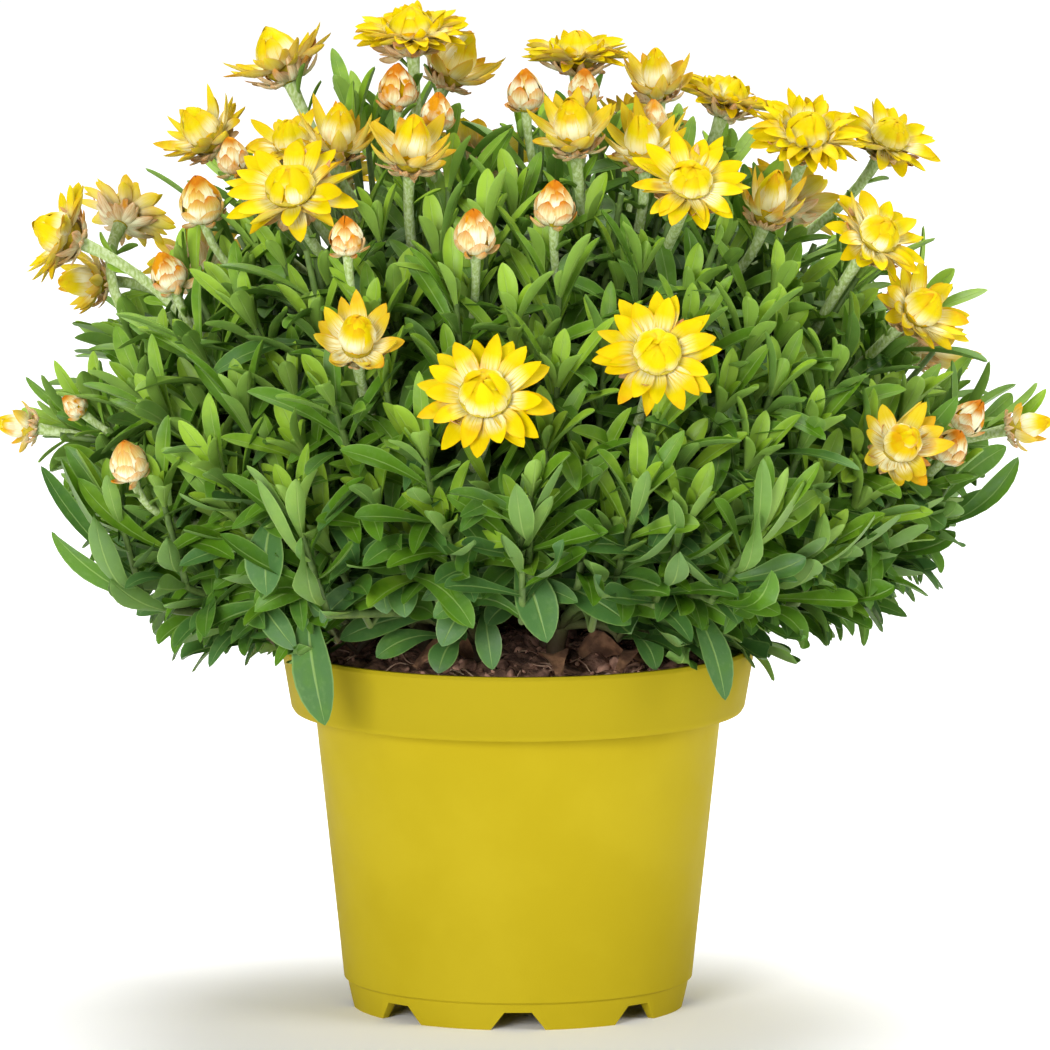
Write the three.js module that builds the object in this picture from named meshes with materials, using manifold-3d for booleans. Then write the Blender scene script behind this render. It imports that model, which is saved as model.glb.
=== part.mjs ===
// A strawflower in a plastic nursery pot: the pot, its soil, twelve leafy stems and their flower heads.
// Millimetres, +Z up. The origin is on the ground, on the pot's axis, and the front faces -Y.
import * as THREE from 'three';
import { mergeVertices } from 'three/addons/utils/BufferGeometryUtils.js';
import Module from 'manifold-3d';

const wasm = await Module();
wasm.setup();

// Pot
const POT_HEIGHT = 100;
const RIM_RADIUS = 65;
const LIP_HEIGHT = 18;
const BODY_TOP_RADIUS = 55.7;
const BODY_FOOT_RADIUS = 47.9;
const FOOT_RADIUS = 45.6;
const FOOT_HEIGHT = 7.4;
const WALL = 1.6;
const POT_SIDES = 32;
const NOTCHES = 8;
const NOTCH_HEIGHT = 5;
const NOTCH_TOP_WIDTH = 7.5;
const NOTCH_FOOT_WIDTH = 16.5;
const DRAIN_RADIUS = 3.6;
const DRAIN_PLACE = 36;

// Soil
const SOIL_EDGE_HEIGHT = 94.5;
const SOIL_MOUND = 5;
const SOIL_SIDES = 16;
const SOIL_RINGS = 5;
const SEAT_GAP = 0.3;

// Crown: the leafy dome that the shoot tips reach, and the stems that carry it
const CROWN_CENTRE = 143;
const TIP_SPREAD = 117;
const TIP_RISE = 104;
const TIP_DROP = 62;
const DRAWN_IN = 0.6;
const LOWEST_TIP = -19;
const FRONT_LIFT = 17;
const LIFT_FADES = [-0.33, 0.25];
const LEAST_RISE = 50;
const RISE_SHARE = 0.44;
const SHOOTS = 84;
const GOLDEN_ANGLE = THREE.MathUtils.degToRad(137.508);
const STEM_RADIUS = 3;
const STALK_RADIUS = 2;
const SHOOT_RADIUS = 1.8;
const LEAFY_LENGTH = 33;
const HOLE_FLOOR = 80;
const HOLE_RADIUS = 4;
const OUTER_STEMS = { count: 8, turn: 22.5, foot: 27, reach: 64, height: 142 };
const INNER_STEMS = { count: 4, turn: 45, foot: 12, reach: 31, height: 186 };
const INNER_ABOVE = 38;
const CORE_DEPTH = 36;
const CORE_INSIDE = 37;
const CORE_GAP = 0.6;

// Leaves, from the oldest on a shoot to the youngest, and the hem that they hang down to
const LEAVES_ON_SHOOT = 12;
const LEAVES_DRAWN = [1, 5, 9];
const LEAF_LENGTH = [37, 25];
const LEAF_WIDTH = [9.6, 6.4];
const LEAF_OPENING = [66, 20];
const LEAF_CURL = [34, 16];
const LEAF_DROOP = 9;
const HANG_FADES = [-0.1, 0.3];
const LOWEST_LEAF = 106;
const HEM_WAVE = 3;
const HEM_LIFT = 15;
const HEM_REACH = 102;
const HEM_SLOPE = 1.5;
const WIDEST_LEAF = 133;
const BLADE_THICKNESS = 1.4;
const LEAF_ROOM = 0.7;
const SLIVER = 0.02;

// Flower heads, as shares of their size: from the centre down to the flat seat on the stalk
const CLOSED_DEPTH = 0.62;
const OPEN_DEPTH = 0.17;
const HEAD_SEAT_RADIUS = 2.5;

// The eye that the heads' places were taken from: in front of the pot and a little above it
const EYE = new THREE.Vector3(0, -3962, 683);

// Flower heads. Each place is [right of the axis, above the ground, in front of the axis], the first two
// as the eye sees them in the upright plane through the axis. The face is [turn to the right, tilt up] in
// degrees, size is across the bracts, and open runs from 0 for a closed bud to 1 for a flat head.
const HEADS = [
  { name: 'bloom_01', place: [-65, 261, -8], face: [-100, 66], size: 31, open: 0.8 },
  { name: 'bloom_02', place: [-29, 268, 16], face: [-12, 76], size: 34, open: 1 },
  { name: 'bloom_03', place: [-17, 260, -14], face: [60, 60], size: 24, open: 0.5 },
  { name: 'bloom_04', place: [-29, 237, 60], face: [10, 62], size: 25, open: 0.5 },
  { name: 'bloom_05', place: [-86, 241, 2], face: [-58, 52], size: 27, open: 0.75 },
  { name: 'bloom_06', place: [-49, 240, 36], face: [0, 72], size: 22, open: 0.45 },
  { name: 'bloom_07', place: [-62, 225, 62], face: [-14, 48], size: 37, open: 1 },
  { name: 'bloom_08', place: [-62, 238, 22], face: [-20, 68], size: 27, open: 0.9 },
  { name: 'bloom_09', place: [-125, 213, 12], face: [-82, 24], size: 31, open: 0.9 },
  { name: 'bloom_10', place: [-107, 219, -24], face: [150, 42], size: 29, open: 1 },
  { name: 'bloom_11', place: [-118, 200, -16], face: [-70, 2], size: 20, open: 0.5 },
  { name: 'bloom_12', place: [-44, 184, 106], face: [0, 42], size: 25, open: 0.55 },
  { name: 'bloom_13', place: [-9, 168, 122], face: [-4, 38], size: 38, open: 1 },
  { name: 'bloom_14', place: [38, 180, 116], face: [4, 26], size: 35, open: 1 },
  { name: 'bloom_15', place: [-137, 160, 8], face: [-88, 8], size: 15, open: 0.4 },
  { name: 'bloom_16', place: [16, 262, -22], face: [0, 86], size: 31, open: 1 },
  { name: 'bloom_17', place: [15, 242, 56], face: [-10, 60], size: 26, open: 0.6 },
  { name: 'bloom_18', place: [34, 238, 44], face: [-8, 62], size: 24, open: 0.6 },
  { name: 'bloom_19', place: [38, 256, 4], face: [-10, 66], size: 20, open: 0.4 },
  { name: 'bloom_20', place: [47, 227, 76], face: [10, 42], size: 32, open: 1 },
  { name: 'bloom_21', place: [57, 250, -6], face: [70, 72], size: 29, open: 1 },
  { name: 'bloom_22', place: [79, 240, 22], face: [16, 58], size: 33, open: 1 },
  { name: 'bloom_23', place: [101, 239, -16], face: [40, 54], size: 30, open: 1 },
  { name: 'bloom_24', place: [69, 222, 44], face: [30, 64], size: 20, open: 0.35 },
  { name: 'bloom_25', place: [98, 212, 46], face: [38, 42], size: 31, open: 1 },
  { name: 'bloom_26', place: [110, 192, 40], face: [42, 34], size: 29, open: 0.85 },
  { name: 'bloom_27', place: [105, 155, 76], face: [16, 22], size: 26, open: 0.6 },
  { name: 'bloom_28', place: [139, 160, 12], face: [86, 12], size: 16, open: 0.4 },
  { name: 'bloom_29', place: [-54, 228, -70], face: [200, 50], size: 35, open: 1 },
  { name: 'bloom_30', place: [-12, 234, -84], face: [176, 48], size: 37, open: 1 },
  { name: 'bloom_31', place: [34, 244, -66], face: [170, 62], size: 30, open: 0.8 },
  { name: 'bloom_32', place: [74, 222, -82], face: [150, 44], size: 35, open: 1 },
  { name: 'bloom_33', place: [-88, 206, -84], face: [214, 40], size: 34, open: 1 },
  { name: 'bloom_34', place: [14, 180, -122], face: [178, 30], size: 36, open: 1 },
  { name: 'bloom_35', place: [-48, 172, -118], face: [190, 30], size: 26, open: 0.6 },
  { name: 'bloom_36', place: [66, 160, -112], face: [158, 24], size: 33, open: 0.9 },
  { name: 'bloom_37', place: [112, 184, -58], face: [124, 30], size: 27, open: 0.6 },
  { name: 'bud_01', place: [-33, 254, 30], face: [-6, 74], size: 10.5, open: 0 },
  { name: 'bud_02', place: [-87, 223, 34], face: [-20, 66], size: 12, open: 0.15 },
  { name: 'bud_03', place: [-12, 214, 92], face: [-6, 66], size: 11, open: 0 },
  { name: 'bud_04', place: [10, 222, 84], face: [4, 68], size: 11, open: 0 },
  { name: 'bud_05', place: [-96, 203, 40], face: [-40, 62], size: 10, open: 0 },
  { name: 'bud_06', place: [-107, 151, 74], face: [-20, 56], size: 10.5, open: 0 },
  { name: 'bud_07', place: [119, 155, 56], face: [30, 44], size: 9.5, open: 0 },
];

// Small closed buds, each one body with the leafy stem that bears it
const SMALL_BUDS = [
  { place: [-22, 247, 44], face: [14, 74], size: 9 },
  { place: [-78, 235, 20], face: [-30, 70], size: 9 },
  { place: [-47, 213, 88], face: [-6, 64], size: 9.5 },
  { place: [-122, 166, 26], face: [-66, 40], size: 6 },
  { place: [2, 253, 24], face: [-8, 74], size: 10 },
  { place: [18, 254, 14], face: [10, 70], size: 8.5 },
  { place: [37, 246, 34], face: [0, 72], size: 7.5 },
  { place: [124, 163, 34], face: [64, 50], size: 9 },
  { place: [-20, 208, -98], face: [184, 60], size: 10 },
  { place: [50, 200, -100], face: [164, 56], size: 9.5 },
  { place: [-104, 166, -66], face: [236, 44], size: 9 },
];

// Large old leaves that hang low: where each starts and ends, placed as the heads are
const HANGING_LEAVES = [
  { root: [-57, 113, 60], tip: [-53, 77, 68], width: 12.5 },
  { root: [46, 112, 58], tip: [57, 84, 64], width: 10.5 },
  { root: [-66, 136, 84], tip: [-69, 113, 92], width: 12 },
  { root: [0, 125, 84], tip: [8, 100, 96], width: 11 },
];

const UP = new THREE.Vector3(0, 0, 1);
const { degToRad, lerp } = THREE.MathUtils;

const PLASTIC = { color: 0xcfb92d, roughness: 0.42, metalness: 0 };
const PEAT = { color: 0x3a2a20, roughness: 0.95, metalness: 0 };
const FOLIAGE = { color: 0x4d7a2a, roughness: 0.6, metalness: 0 };
const BRACTS = { color: 0xf7dc12, roughness: 0.5, metalness: 0 };
const BUD_SCALES = { color: 0xe2a14e, roughness: 0.5, metalness: 0 };

// Seeded draws from 0 to 1, so that every run grows the same plant
function dice(seed) {
  let state = seed * 7919 + 17;
  const draw = () => {
    state = (state * 1664525 + 1013904223) % 4294967296;
    return state / 4294967296;
  };
  draw();
  draw();
  return draw;
}

// Joining and cutting

function solid(geometry) {
  const bare = geometry.clone();
  bare.deleteAttribute('normal');
  bare.deleteAttribute('uv');
  const merged = mergeVertices(bare, 1e-4);
  const corners = merged.index.array;
  const triangles = [];
  for (let i = 0; i < corners.length; i += 3) {
    const [a, b, c] = [corners[i], corners[i + 1], corners[i + 2]];
    if (a !== b && b !== c && c !== a) triangles.push(a, b, c);
  }
  return new wasm.Manifold(new wasm.Mesh({
    numProp: 3,
    vertProperties: Float32Array.from(merged.attributes.position.array),
    triVerts: Uint32Array.from(triangles),
  }));
}

// The largest body of a solid, without its slivers, which leaves out loose scraps and fills sealed hollows
function mainBody(joined) {
  const bodies = joined.simplify(SLIVER).decompose();
  return bodies.reduce((best, body) => (body.volume() > best.volume() ? body : best));
}

function geometryOf(body) {
  const mesh = body.getMesh();
  const geometry = new THREE.BufferGeometry();
  geometry.setAttribute('position', new THREE.BufferAttribute(Float32Array.from(mesh.vertProperties), 3));
  geometry.setIndex(Array.from(mesh.triVerts));
  return geometry;
}

function piece(name, geometry, look) {
  const mesh = new THREE.Mesh(geometry, new THREE.MeshStandardMaterial(look));
  mesh.name = name;
  return mesh;
}

// A lathed body of [radius, place] pairs, turned about +Z
function turned(profile, sides) {
  const points = profile.map(([radius, height]) => new THREE.Vector2(radius, height));
  const geometry = new THREE.LatheGeometry(points, sides);
  geometry.rotateX(Math.PI / 2);
  return geometry;
}

// A lathed body wrapped along a curve. The profile's places run from 0 to 1 along the curve, and the body
// is thick across the way it faces by the given share of its width.
function grown(profile, sides, curve, facing, flatness = 1) {
  const points = profile.map(([radius, place]) => new THREE.Vector2(radius, place));
  const geometry = new THREE.LatheGeometry(points, sides, Math.PI);
  const position = geometry.attributes.position;
  for (let i = 0; i < position.count; i += 1) {
    const place = THREE.MathUtils.clamp(position.getY(i), 0, 1);
    const along = curve.getTangent(place);
    const outward = facing.clone().addScaledVector(along, -facing.dot(along)).normalize();
    const across = along.clone().cross(outward);
    const point = curve.getPoint(place);
    point.addScaledVector(across, position.getX(i));
    point.addScaledVector(outward, position.getZ(i) * flatness);
    position.setXYZ(i, point.x, point.y, point.z);
  }
  return geometry;
}

function bend(from, middle, to) {
  return new THREE.QuadraticBezierCurve3(from, middle, to);
}

// A direction from a turn to the right of the front and a tilt up, in degrees
function heading(turn, tilt) {
  const side = degToRad(turn);
  const rise = degToRad(tilt);
  return new THREE.Vector3(
    Math.cos(rise) * Math.sin(side),
    -Math.cos(rise) * Math.cos(side),
    Math.sin(rise),
  );
}

// A share that falls evenly from 1 at one value to 0 at another
function fading(value, full, gone) {
  return THREE.MathUtils.clamp((gone - value) / (gone - full), 0, 1);
}

// The place on the eye's ray through a spot in the upright plane, as far in front of it as given
function seen([across, up, front]) {
  const spot = new THREE.Vector3(across, 0, up);
  const ray = spot.clone().sub(EYE);
  return spot.addScaledVector(ray, -front / ray.y);
}

// Pot

function makePot() {
  const lipFoot = POT_HEIGHT - LIP_HEIGHT;
  const floorTop = FOOT_HEIGHT + 0.2;
  const profile = [
    [0, floorTop - WALL],
    [FOOT_RADIUS - 2.3, floorTop - WALL],
    [FOOT_RADIUS - 2.3, 0],
    [FOOT_RADIUS, 0],
    [BODY_FOOT_RADIUS - 1, FOOT_HEIGHT - 0.2],
    [BODY_FOOT_RADIUS, FOOT_HEIGHT + 0.5],
    [BODY_TOP_RADIUS, lipFoot - 0.7],
    [RIM_RADIUS - 3.4, lipFoot],
    [RIM_RADIUS - 2.8, lipFoot + 1],
    [RIM_RADIUS, POT_HEIGHT - 1],
    [RIM_RADIUS - 0.4, POT_HEIGHT],
    [RIM_RADIUS - 1.9, POT_HEIGHT],
    [RIM_RADIUS - 4.8, lipFoot + 2.4],
    [BODY_TOP_RADIUS - WALL, lipFoot + 0.7],
    [BODY_FOOT_RADIUS - WALL, floorTop + 1.6],
    [BODY_FOOT_RADIUS - WALL - 0.8, floorTop],
    [0, floorTop],
  ];
  const notchOutline = new THREE.Shape([
    new THREE.Vector2(-NOTCH_FOOT_WIDTH / 2, -1),
    new THREE.Vector2(NOTCH_FOOT_WIDTH / 2, -1),
    new THREE.Vector2(NOTCH_TOP_WIDTH / 2, NOTCH_HEIGHT),
    new THREE.Vector2(-NOTCH_TOP_WIDTH / 2, NOTCH_HEIGHT),
  ]);
  const cuts = [];
  for (let i = 0; i < NOTCHES; i += 1) {
    const turn = (i * 2 * Math.PI) / NOTCHES;
    const notch = new THREE.ExtrudeGeometry(notchOutline, { depth: 12, bevelEnabled: false });
    notch.rotateX(Math.PI / 2);
    notch.translate(0, -FOOT_RADIUS + 6, 0);
    notch.rotateZ(turn);
    cuts.push(solid(notch));
    const drain = new THREE.CylinderGeometry(DRAIN_RADIUS, DRAIN_RADIUS, 3 * WALL, 8);
    drain.rotateX(Math.PI / 2);
    drain.translate(0, -DRAIN_PLACE, floorTop - WALL / 2);
    drain.rotateZ(turn);
    cuts.push(solid(drain));
  }
  const body = solid(turned(profile, POT_SIDES)).subtract(wasm.Manifold.union(cuts));
  return piece('pot', geometryOf(body), PLASTIC);
}

// Leafy stems: where each stands and the part of the crown that it fills

function stemPlan() {
  const plan = [];
  for (const [ring, inner] of [[OUTER_STEMS, false], [INNER_STEMS, true]]) {
    for (let i = 0; i < ring.count; i += 1) {
      const turn = degToRad(ring.turn + (i * 360) / ring.count);
      const outward = new THREE.Vector3(Math.cos(turn), Math.sin(turn), 0);
      plan.push({
        name: `leafy_stem_${String(plan.length + 1).padStart(2, '0')}`,
        inner,
        outward,
        foot: outward.clone().multiplyScalar(ring.foot).setZ(HOLE_FLOOR + SEAT_GAP),
        heart: outward.clone().multiplyScalar(ring.reach).setZ(ring.height),
        halfShare: Math.PI / ring.count,
      });
    }
  }
  return plan;
}

// The stem whose part of the crown a point lies in
function stemFor(point, plan) {
  const level = Math.hypot(point.x, point.y);
  const inner = Math.atan2(point.z - CROWN_CENTRE, level) > degToRad(INNER_ABOVE);
  const near = plan.filter((stem) => stem.inner === inner);
  const share = (stem) => stem.outward.x * point.x + stem.outward.y * point.y;
  return near.reduce((best, stem) => (share(stem) > share(best) ? stem : best));
}

function soilHeight(x, y) {
  const edge = RIM_RADIUS - 3.4;
  const mound = SOIL_MOUND * (1 - (x * x + y * y) / (edge * edge));
  const lumps = 1.3 * Math.sin(0.31 * x + 1) * Math.cos(0.27 * y) + 0.9 * Math.sin(0.53 * x - 0.41 * y);
  return SOIL_EDGE_HEIGHT + mound + lumps;
}

// Soil: fills the pot to just under the rim, with a lumpy top and a plain hole for each stem
function makeSoil(plan) {
  const lipFoot = POT_HEIGHT - LIP_HEIGHT;
  const floor = FOOT_HEIGHT + 0.2 + SEAT_GAP;
  const edge = RIM_RADIUS - 3.4;
  const profile = [
    [0, floor],
    [BODY_FOOT_RADIUS - WALL - 1.2, floor],
    [BODY_FOOT_RADIUS - WALL - 0.4, floor + 1.6],
    [BODY_TOP_RADIUS - WALL - 0.5, lipFoot + 1],
    [RIM_RADIUS - 5.3, lipFoot + 3],
  ];
  for (let ring = SOIL_RINGS; ring >= 0; ring -= 1) {
    profile.push([(edge * ring) / SOIL_RINGS, SOIL_EDGE_HEIGHT]);
  }
  const block = turned(profile, SOIL_SIDES);
  const position = block.attributes.position;
  for (let i = 0; i < position.count; i += 1) {
    const top = position.getZ(i) > SOIL_EDGE_HEIGHT - 0.1;
    if (top) position.setZ(i, soilHeight(position.getX(i), position.getY(i)));
  }
  const holes = plan.map((stem) => {
    const hole = new THREE.CylinderGeometry(HOLE_RADIUS, HOLE_RADIUS, 40, 6);
    hole.rotateX(Math.PI / 2);
    hole.translate(stem.foot.x, stem.foot.y, HOLE_FLOOR + 20);
    return solid(hole);
  });
  return piece('soil', geometryOf(solid(block).subtract(wasm.Manifold.union(holes))), PEAT);
}

// The main stem: upright in its hole, then bending out to the heart of its part of the crown
function makeMainStem({ foot, heart, outward }) {
  const neck = foot.clone().setZ(SOIL_EDGE_HEIGHT + SOIL_MOUND + 4);
  const elbow = neck.clone().lerp(heart, 0.5).add(new THREE.Vector3(0, 0, 4));
  const curve = new THREE.CatmullRomCurve3([foot, neck, elbow, heart]);
  const profile = [[0, 0], [STEM_RADIUS, 0], [STEM_RADIUS, 1 / 3], [0.8 * STEM_RADIUS, 2 / 3], [0, 1]];
  return solid(grown(profile, 6, curve, outward.clone().cross(UP)));
}

// Whether a point lies in a stem's part of the crown and deep enough under the shoot tips
function insidePart({ inner, outward, halfShare }, point) {
  const level = Math.hypot(point.x, point.y);
  const rise = point.z - CROWN_CENTRE;
  const ahead = outward.x * point.x + outward.y * point.y;
  const aside = Math.abs(outward.x * point.y - outward.y * point.x);
  const divide = degToRad(INNER_ABOVE);
  const height = (rise > 0 ? TIP_RISE : TIP_DROP) - CORE_DEPTH;
  const deep = Math.hypot(level / (TIP_SPREAD - CORE_DEPTH), rise / height) < 1;
  const between = ahead * Math.sin(halfShare) - aside * Math.cos(halfShare) > CORE_GAP;
  if (inner) return deep && between && rise * Math.cos(divide) - level * Math.sin(divide) > CORE_GAP;
  return deep && between && ahead > CORE_INSIDE
    && ahead * Math.sin(divide) - rise * Math.cos(divide) > CORE_GAP;
}

// The dense, rugged middle of a leafy stem, smaller than the leaves that stand out of it
function makeCore(stem, number) {
  const core = new THREE.IcosahedronGeometry(1, 1);
  const position = core.attributes.position;
  const draw = dice(500 + number);
  const reaches = new Map();
  for (let i = 0; i < position.count; i += 1) {
    const direction = new THREE.Vector3().fromBufferAttribute(position, i);
    const key = direction.toArray().map((value) => Math.round(value * 1000)).join();
    if (!reaches.has(key)) {
      let reach = 2;
      while (insidePart(stem, stem.heart.clone().addScaledVector(direction, reach + 1))) reach += 1;
      reaches.set(key, reach * (0.66 + 0.34 * Math.round(draw())));
    }
    const point = stem.heart.clone().addScaledVector(direction, reaches.get(key));
    position.setXYZ(i, point.x, point.y, point.z);
  }
  return solid(core);
}

// How far to the front a compass turn lies: 1 at the very front, and 0 at the sides and the back
function inFront(turn) {
  return Math.max(0, -Math.sin(turn)) ** 3;
}

// A place on the crown, by the sine of its height above the centre. The crown draws in towards the pot, and
// it is lifted at the front, where the soil shows.
function crownPoint(sine, turn, reach) {
  const level = reach * TIP_SPREAD * Math.sqrt(1 - sine * sine) * (1 + DRAWN_IN * Math.min(0, sine));
  const lift = FRONT_LIFT * inFront(turn) * fading(sine, ...LIFT_FADES);
  const rise = reach * ((sine > 0 ? TIP_RISE : TIP_DROP) * sine + lift);
  return new THREE.Vector3(level * Math.cos(turn), level * Math.sin(turn), CROWN_CENTRE + rise);
}

// A leafy shoot: out of the heart of its stem to an elbow, then straight to a tip on the crown
function growShoot(number, plan) {
  const draw = dice(number);
  const height = 1 - ((number + 0.5) / SHOOTS) * (1 - Math.sin(degToRad(LOWEST_TIP)));
  const turn = number * GOLDEN_ANGLE + 0.3 * (draw() - 0.5);
  const tip = crownPoint(height, turn, 1 + 0.12 * (draw() - 0.5));
  const stem = stemFor(tip, plan);
  const rise = degToRad(LEAST_RISE) + RISE_SHARE * Math.asin(height) + 0.35 * (draw() - 0.5);
  const aim = new THREE.Vector3(
    Math.cos(rise) * Math.cos(turn),
    Math.cos(rise) * Math.sin(turn),
    Math.sin(rise),
  );
  const elbow = tip.clone().addScaledVector(aim, -LEAFY_LENGTH);
  return { stem, elbow, tip, aim, height, turn: draw() * 2 * Math.PI };
}

function makeShoot({ stem, elbow, tip, aim }) {
  const root = stem.heart.clone().lerp(elbow, 0.2);
  const path = new THREE.CurvePath();
  path.add(new THREE.LineCurve3(root, elbow));
  path.add(new THREE.LineCurve3(elbow, tip));
  const bendAt = root.distanceTo(elbow) / path.getLength();
  const profile = [[0, 0], [SHOOT_RADIUS, bendAt], [0, 1]];
  return solid(grown(profile, 3, path, new THREE.Vector3().crossVectors(aim, UP)));
}

// How low a leaf may hang at a place: lower beside the pot than in front of it, and higher further out
function hemHeight({ x, y }) {
  const compass = Math.atan2(y, x);
  const hem = LOWEST_LEAF + HEM_WAVE * Math.sin(5 * compass) + HEM_LIFT * inFront(compass);
  return hem + HEM_SLOPE * Math.max(0, Math.hypot(x, y) - HEM_REACH);
}

// The leaf of a given rank on a shoot: its midline, the way its upper side faces and its width. The old
// leaves of a low shoot bend straight down.
function leafOn(shoot, rank, draw, change = { turn: 0, open: 0, length: 1 }) {
  const age = rank / (LEAVES_ON_SHOOT - 1);
  const axis = shoot.aim;
  const around = shoot.turn + rank * GOLDEN_ANGLE + degToRad(change.turn);
  const level = new THREE.Vector3().crossVectors(axis, UP).normalize();
  const third = new THREE.Vector3().crossVectors(axis, level);
  const side = level.multiplyScalar(Math.cos(around)).addScaledVector(third, Math.sin(around));
  const length = lerp(...LEAF_LENGTH, age) * (0.86 + 0.28 * draw()) * change.length;
  const opening = degToRad(lerp(...LEAF_OPENING, age) + 16 * (draw() - 0.5) + change.open);
  const curl = opening + degToRad(lerp(...LEAF_CURL, age));
  const point = shoot.elbow.clone().lerp(shoot.tip, lerp(0.04, 0.93, age));
  const middle = point.clone();
  middle.addScaledVector(axis, Math.cos(opening) * length * 0.5);
  middle.addScaledVector(side, Math.sin(opening) * length * 0.5);
  const outward = middle.clone().setZ(0).normalize();
  const hang = fading(shoot.height, ...HANG_FADES) * (1 - age) * (0.55 + 0.45 * side.dot(outward));
  const away = axis.clone().multiplyScalar(Math.cos(curl)).addScaledVector(side, Math.sin(curl));
  const down = outward.clone().multiplyScalar(0.25).sub(UP);
  const tip = middle.clone().addScaledVector(away.lerp(down, hang).normalize(), length * 0.5);
  tip.z -= LEAF_DROOP * (1 - age) * (1 - age) * (1 - hang);
  tip.z = Math.max(tip.z, lerp(tip.z, hemHeight(tip), 0.7));
  const inward = Math.min(1, WIDEST_LEAF / Math.hypot(tip.x, tip.y));
  tip.set(inward * tip.x, inward * tip.y, tip.z);
  const facing = axis.clone().multiplyScalar(Math.sin(curl)).addScaledVector(side, -Math.cos(opening));
  facing.addScaledVector(outward, 0.8 * hang);
  return { curve: bend(point, middle, tip), facing, width: lerp(...LEAF_WIDTH, age) };
}

// A narrow blade, widest past its middle, with a keel below
function makeLeaf({ curve, facing, width }, room = 0) {
  const radius = (width + room) / Math.sqrt(3);
  const flatness = (BLADE_THICKNESS + room) / (1.5 * radius);
  const profile = [[0, 0], [0.62 * radius, 0.36], [radius, 0.7], [0.5 * room, 1]];
  if (room > 0) profile.push([0, 1]);
  return solid(grown(profile, 3, curve, facing, flatness));
}

// A large old leaf on a sprig from the heart of its stem, arching out and down
function makeHangingLeaf({ root, tip, width }, plan) {
  const start = seen(root);
  const end = seen(tip);
  const stem = stemFor(start, plan);
  const outward = new THREE.Vector3(start.x, start.y, 0).normalize();
  const middle = start.clone().lerp(end, 0.4).addScaledVector(outward, 5).addScaledVector(UP, 4);
  const facing = outward.clone().addScaledVector(UP, 0.6);
  const sprigPath = new THREE.LineCurve3(stem.heart.clone().lerp(start, 0.2), middle);
  const sprig = solid(grown([[0, 0], [SHOOT_RADIUS, 0.6], [0, 1]], 3, sprigPath, outward.clone().cross(UP)));
  return { stem, body: makeLeaf({ curve: bend(start, middle, end), facing, width }).add(sprig) };
}

// A flower stalk: out of the heart of its stem and straight into the back of its head
function makeStalk(stem, base, axis) {
  const reach = base.distanceTo(stem.heart);
  const root = stem.heart.clone().lerp(base, 0.15);
  const curve = bend(root, base.clone().addScaledVector(axis, -0.42 * reach), base);
  const profile = [[0, 0], [STALK_RADIUS, 0.5], [STALK_RADIUS, 1], [0, 1]];
  return solid(grown(profile, 3, curve, new THREE.Vector3().crossVectors(axis, heading(0, 0)).normalize()));
}

// Flower heads, about their own +Z

function headDepth({ size, open }) {
  return lerp(CLOSED_DEPTH, OPEN_DEPTH, Math.sqrt(open)) * size;
}

// A body of rings about +Z whose even and odd columns take turns. Each ring holds the two columns'
// [radius, height], so a ring whose radii differ is a star of that many pointed bracts.
function starred(rings, points) {
  const geometry = new THREE.LatheGeometry(rings.map(() => new THREE.Vector2(1, 0)), 2 * points);
  const position = geometry.attributes.position;
  for (let i = 0; i < position.count; i += 1) {
    const column = Math.floor(i / rings.length);
    const around = (column * Math.PI) / points;
    const [radius, height] = rings[i % rings.length][column % 2];
    position.setXYZ(i, radius * Math.cos(around), radius * Math.sin(around), height);
  }
  return geometry;
}

function ring(radius, height) {
  return [[radius, height], [radius, height]];
}

// A closed bud, its overlapping scales raised as ridges
function makeBud(size) {
  const rings = [
    ring(0, -CLOSED_DEPTH * size),
    ring(HEAD_SEAT_RADIUS, -CLOSED_DEPTH * size),
    [[0.53 * size, -0.18 * size], [0.45 * size, -0.26 * size]],
    [[0.26 * size, 0.3 * size], [0.32 * size, 0.22 * size]],
    ring(0, 0.6 * size),
  ];
  return starred(rings, 6);
}

// An open head: long outer bracts, shorter inner bracts between them, and a closed dome in the middle
function makeHead({ size, open }) {
  const shape = (closed, flat) => lerp(closed, flat, Math.pow(open, 0.8)) * size;
  const outerTip = [0.5 * size, shape(0.33, 0.04)];
  const outerNotch = [shape(0.3, 0.29), shape(-0.16, -0.02)];
  const innerTip = [shape(0.3, 0.38), shape(0.5, 0.15)];
  const innerNotch = [shape(0.24, 0.25), shape(0.2, 0.06)];
  const rings = [
    ring(0, -headDepth({ size, open })),
    ring(HEAD_SEAT_RADIUS, -headDepth({ size, open })),
    [outerTip, outerNotch],
    [innerNotch, innerTip],
    ring(shape(0.17, 0.2), shape(0.45, 0.1)),
    ring(0, shape(0.64, 0.2)),
  ];
  return starred(rings, open > 0.7 ? 11 : 7);
}

// Assembly. What is placed later keeps clear of every other piece's solids.

function boxOf(body) {
  const { min, max } = body.boundingBox();
  return new THREE.Box3(new THREE.Vector3(...min), new THREE.Vector3(...max));
}

// Whether a solid meets nothing but the parts of its own stem that it may be rooted in
function isClear(body, owner, rooted, placed) {
  const box = boxOf(body);
  return !placed.some((other) => !(other.owner === owner && rooted.includes(other.part))
    && other.box.intersectsBox(box) && !other.body.intersect(body).isEmpty());
}

function place(body, owner, part, placed) {
  placed.push({ body, owner, part, box: boxOf(body) });
}

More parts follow.
